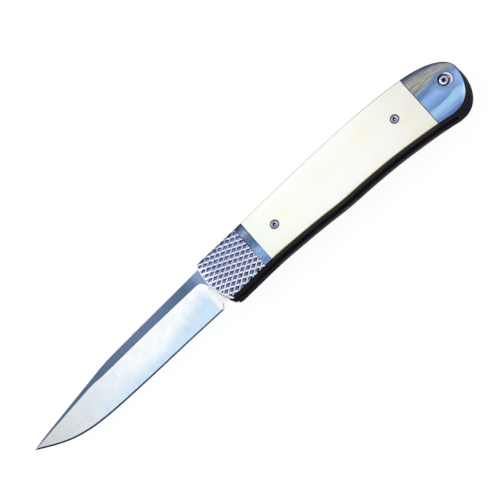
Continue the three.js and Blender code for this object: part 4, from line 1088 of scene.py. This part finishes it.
def bladePiece():
    shell = Shell(1)
    xs = bladeSteps()
    loops = []
    for x in xs:
        rows = bladeSection(x)
        front = [(x, y, z) for y, z, _ in rows]
        back = [(x, y, -z) for y, z, _ in reversed(rows)]
        loops.append((shell.add(front + back), [kind for *_, kind in rows]))
    count = len(loops[0][0])
    half = count // 2
    for (a, kinds), (b, _), x in zip(loops, loops[1:], xs[1:]):
        for j in range(count):
            k = (j + 1) % count
            row = min(k if k < half else count - 1 - j, half - 1)
            kind = kinds[row] if k else strip
            if kind == edge and x > -blade["heel"]:
                kind = choil
            if kind == spineEdge and x > blade["spineEdgeEnd"]:
                kind = strip
            shell.face([a[j], b[j], b[k], a[k]], kind)
    for loop, flip in ((loops[0][0], True), (loops[-1][0], False)):
        for j in range(half - 1):
            quad = [loop[j], loop[j + 1], loop[count - 2 - j], loop[count - 1 - j]]
            shell.face(quad[::-1] if flip else quad, strip)
    return shell.build("groundBlade", [materials[name] for name in bladeFinishes], bladeSharp)


def boreHoles(piece, holes):
    for x, y, radius, low, high in holes:
        shell = Shell(1)
        rings = [shell.add([(px, py, z) for px, py in circleLoop(x, y, radius, 32)]) for z in (high, low)]
        shell.wall(*rings)
        shell.face(rings[0])
        shell.face(rings[1][::-1])
        drill = shell.build("drill", [])
        cut = piece.modifiers.new("bore", "BOOLEAN")
        cut.object, cut.operation, cut.solver = drill, "DIFFERENCE", "EXACT"
        bpy.context.view_layer.update()
        ready = piece.evaluated_get(bpy.context.evaluated_depsgraph_get())
        mesh = bpy.data.meshes.new_from_object(ready)
        piece.modifiers.clear()
        piece.data = mesh
        bpy.data.objects.remove(drill)


bladeHoles = {  # x, y, radius, low z and high z
    "pivot": (0, 0, 2.6, -3, 3),
    "studOpen": (4.7, -2.2, 1.15, 0.3, 3),
    "studClosed": (-4.7, 2.2, 1.15, 0.3, 3),
}
bladeMesh = bladePiece()
boreHoles(bladeMesh, bladeHoles.values())
bladeMesh.data.set_sharp_from_angle(angle=math.radians(bladeSharp))
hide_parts("blade")
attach(bladeMesh, "blade")
print("blade:", len(bladeMesh.data.polygons), "faces")

# Hidden and plain pieces keep their own shape and get their finish, and the liners' edges are filed
finishes = {
    "front_liner": "darkOxideSteel", "back_liner": "filedOxideSteel", "backspacer": "darkOxideSteel",
    "opening_spring": "bluedSpringSteel", "lock_spring": "bluedSpringSteel",
    "front_washer": "oiledPhosphorBronze", "back_washer": "oiledPhosphorBronze",
}
filedEdge = {"width": 0.12 * mm, "segments": 2, "limit_method": "ANGLE", "angle_limit": math.radians(50)}
for name, node in frame["nodes"].items():
    finish = finishes.get(name, "plainScrewSteel")
    node.data.materials.clear()
    node.data.materials.append(materials[finish])
    if finish in linerSteels:
        soften = node.modifiers.new("filedEdge", "BEVEL")
        for key, value in filedEdge.items():
            setattr(soften, key, value)
print("finishes laid")

# Stage, world and lamps
stage = {"size": 1.6, "depth": 0.0002, "floorGlow": 0.88, "floorShade": 0.16, "worldFill": 0.82}
lamps = {
    "keyLamp": {"towards": (-0.55, 0.75, 0.75), "distance": 0.9, "size": 0.5, "power": 1.6},
    "fillLamp": {"towards": (0.8, -0.35, 0.9), "distance": 1.0, "size": 0.7, "power": 0.8},
}


def seenRay(tree):  # 1 for rays from the camera, and for mirrored and refracted ones
    path = addNode(tree, "LightPath").node.outputs
    seen = addNode(tree, "Math", {0: path["Is Camera Ray"], 1: path["Is Glossy Ray"]}, operation="MAXIMUM")
    return addNode(tree, "Math", {0: seen, 1: path["Is Transmission Ray"]}, operation="MAXIMUM")


def stageFloor():
    mesh = bpy.data.meshes.new("floor")
    half, low = stage["size"] / 2, -stage["depth"]
    corners = [(x * half, y * half, low) for x, y in ((-1, -1), (1, -1), (1, 1), (-1, 1))]
    mesh.from_pydata(corners, [], [(0, 1, 2, 3)])
    floor = bpy.data.objects.new("floor", mesh)
    bpy.context.scene.collection.objects.link(floor)
    material = bpy.data.materials.new("paleFloor")
    material.use_nodes = True
    tree = material.node_tree
    tree.nodes.clear()
    glow = addNode(tree, "Math", {0: seenRay(tree), 1: stage["floorGlow"]}, operation="MULTIPLY")
    shine = addNode(tree, "Emission", {"Color": "#ffffff", "Strength": glow})
    matt = addNode(tree, "BsdfDiffuse", {"Color": (*[stage["floorShade"]] * 3, 1)})
    addNode(tree, "OutputMaterial", {"Surface": addNode(tree, "AddShader", {0: shine, 1: matt})})
    mesh.materials.append(material)


def stageWorld():
    world = bpy.data.worlds.new("studio")
    bpy.context.scene.world = world
    world.use_nodes = True
    tree = world.node_tree
    tree.nodes.clear()
    strength = addNode(tree, "MapRange", {"Value": seenRay(tree), "To Min": stage["worldFill"]})
    white = addNode(tree, "Background", {"Color": "#ffffff", "Strength": strength})
    addNode(tree, "OutputWorld", {"Surface": white})


def stageLamp(name, lamp):
    data = bpy.data.lights.new(name, "AREA")
    data.shape, data.size, data.energy = "DISK", lamp["size"], lamp["power"]
    holder = bpy.data.objects.new(name, data)
    bpy.context.scene.collection.objects.link(holder)
    away = Vector(lamp["towards"]).normalized()
    holder.location = away * lamp["distance"]
    holder.rotation_mode = "QUATERNION"
    holder.rotation_quaternion = away.to_track_quat("Z", "Y")


stageFloor()
stageWorld()
for name, lamp in lamps.items():
    stageLamp(name, lamp)

# Camera at the photograph's angle, from above the belly side, with the knife turned up to the right
cameraPlace = {"azimuth": 10.661, "elevation": 70.974, "roll": 52.585, "distance": 2.0,
               "pixels": 500, "perPixel": 1 / 3.1245, "aim": (9.041, 3.235, -0.53)}
azimuth, elevation, roll = (math.radians(cameraPlace[k]) for k in ("azimuth", "elevation", "roll"))
back = Vector((math.sin(azimuth) * math.cos(elevation), -math.cos(azimuth) * math.cos(elevation),
               math.sin(elevation)))
level = Vector((math.cos(azimuth), math.sin(azimuth), 0))
upright = back.cross(level)
up = upright * math.cos(roll) + level * math.sin(roll)
right = up.cross(back)
cameraData = bpy.data.cameras.new("camera")
frameHeight = cameraPlace["pixels"] * cameraPlace["perPixel"] * mm
cameraData.lens = cameraData.sensor_width * cameraPlace["distance"] / frameHeight
camera = bpy.data.objects.new("camera", cameraData)
bpy.context.scene.collection.objects.link(camera)
turn = Matrix((right, up, back)).transposed()
aim = Vector(toFrame(*cameraPlace["aim"]))
camera.matrix_world = Matrix.Translation(aim + back * cameraPlace["distance"]) @ turn.to_4x4()
bpy.context.scene.camera = camera
bpy.context.scene.view_settings.view_transform = "Standard"

print("stage ready")
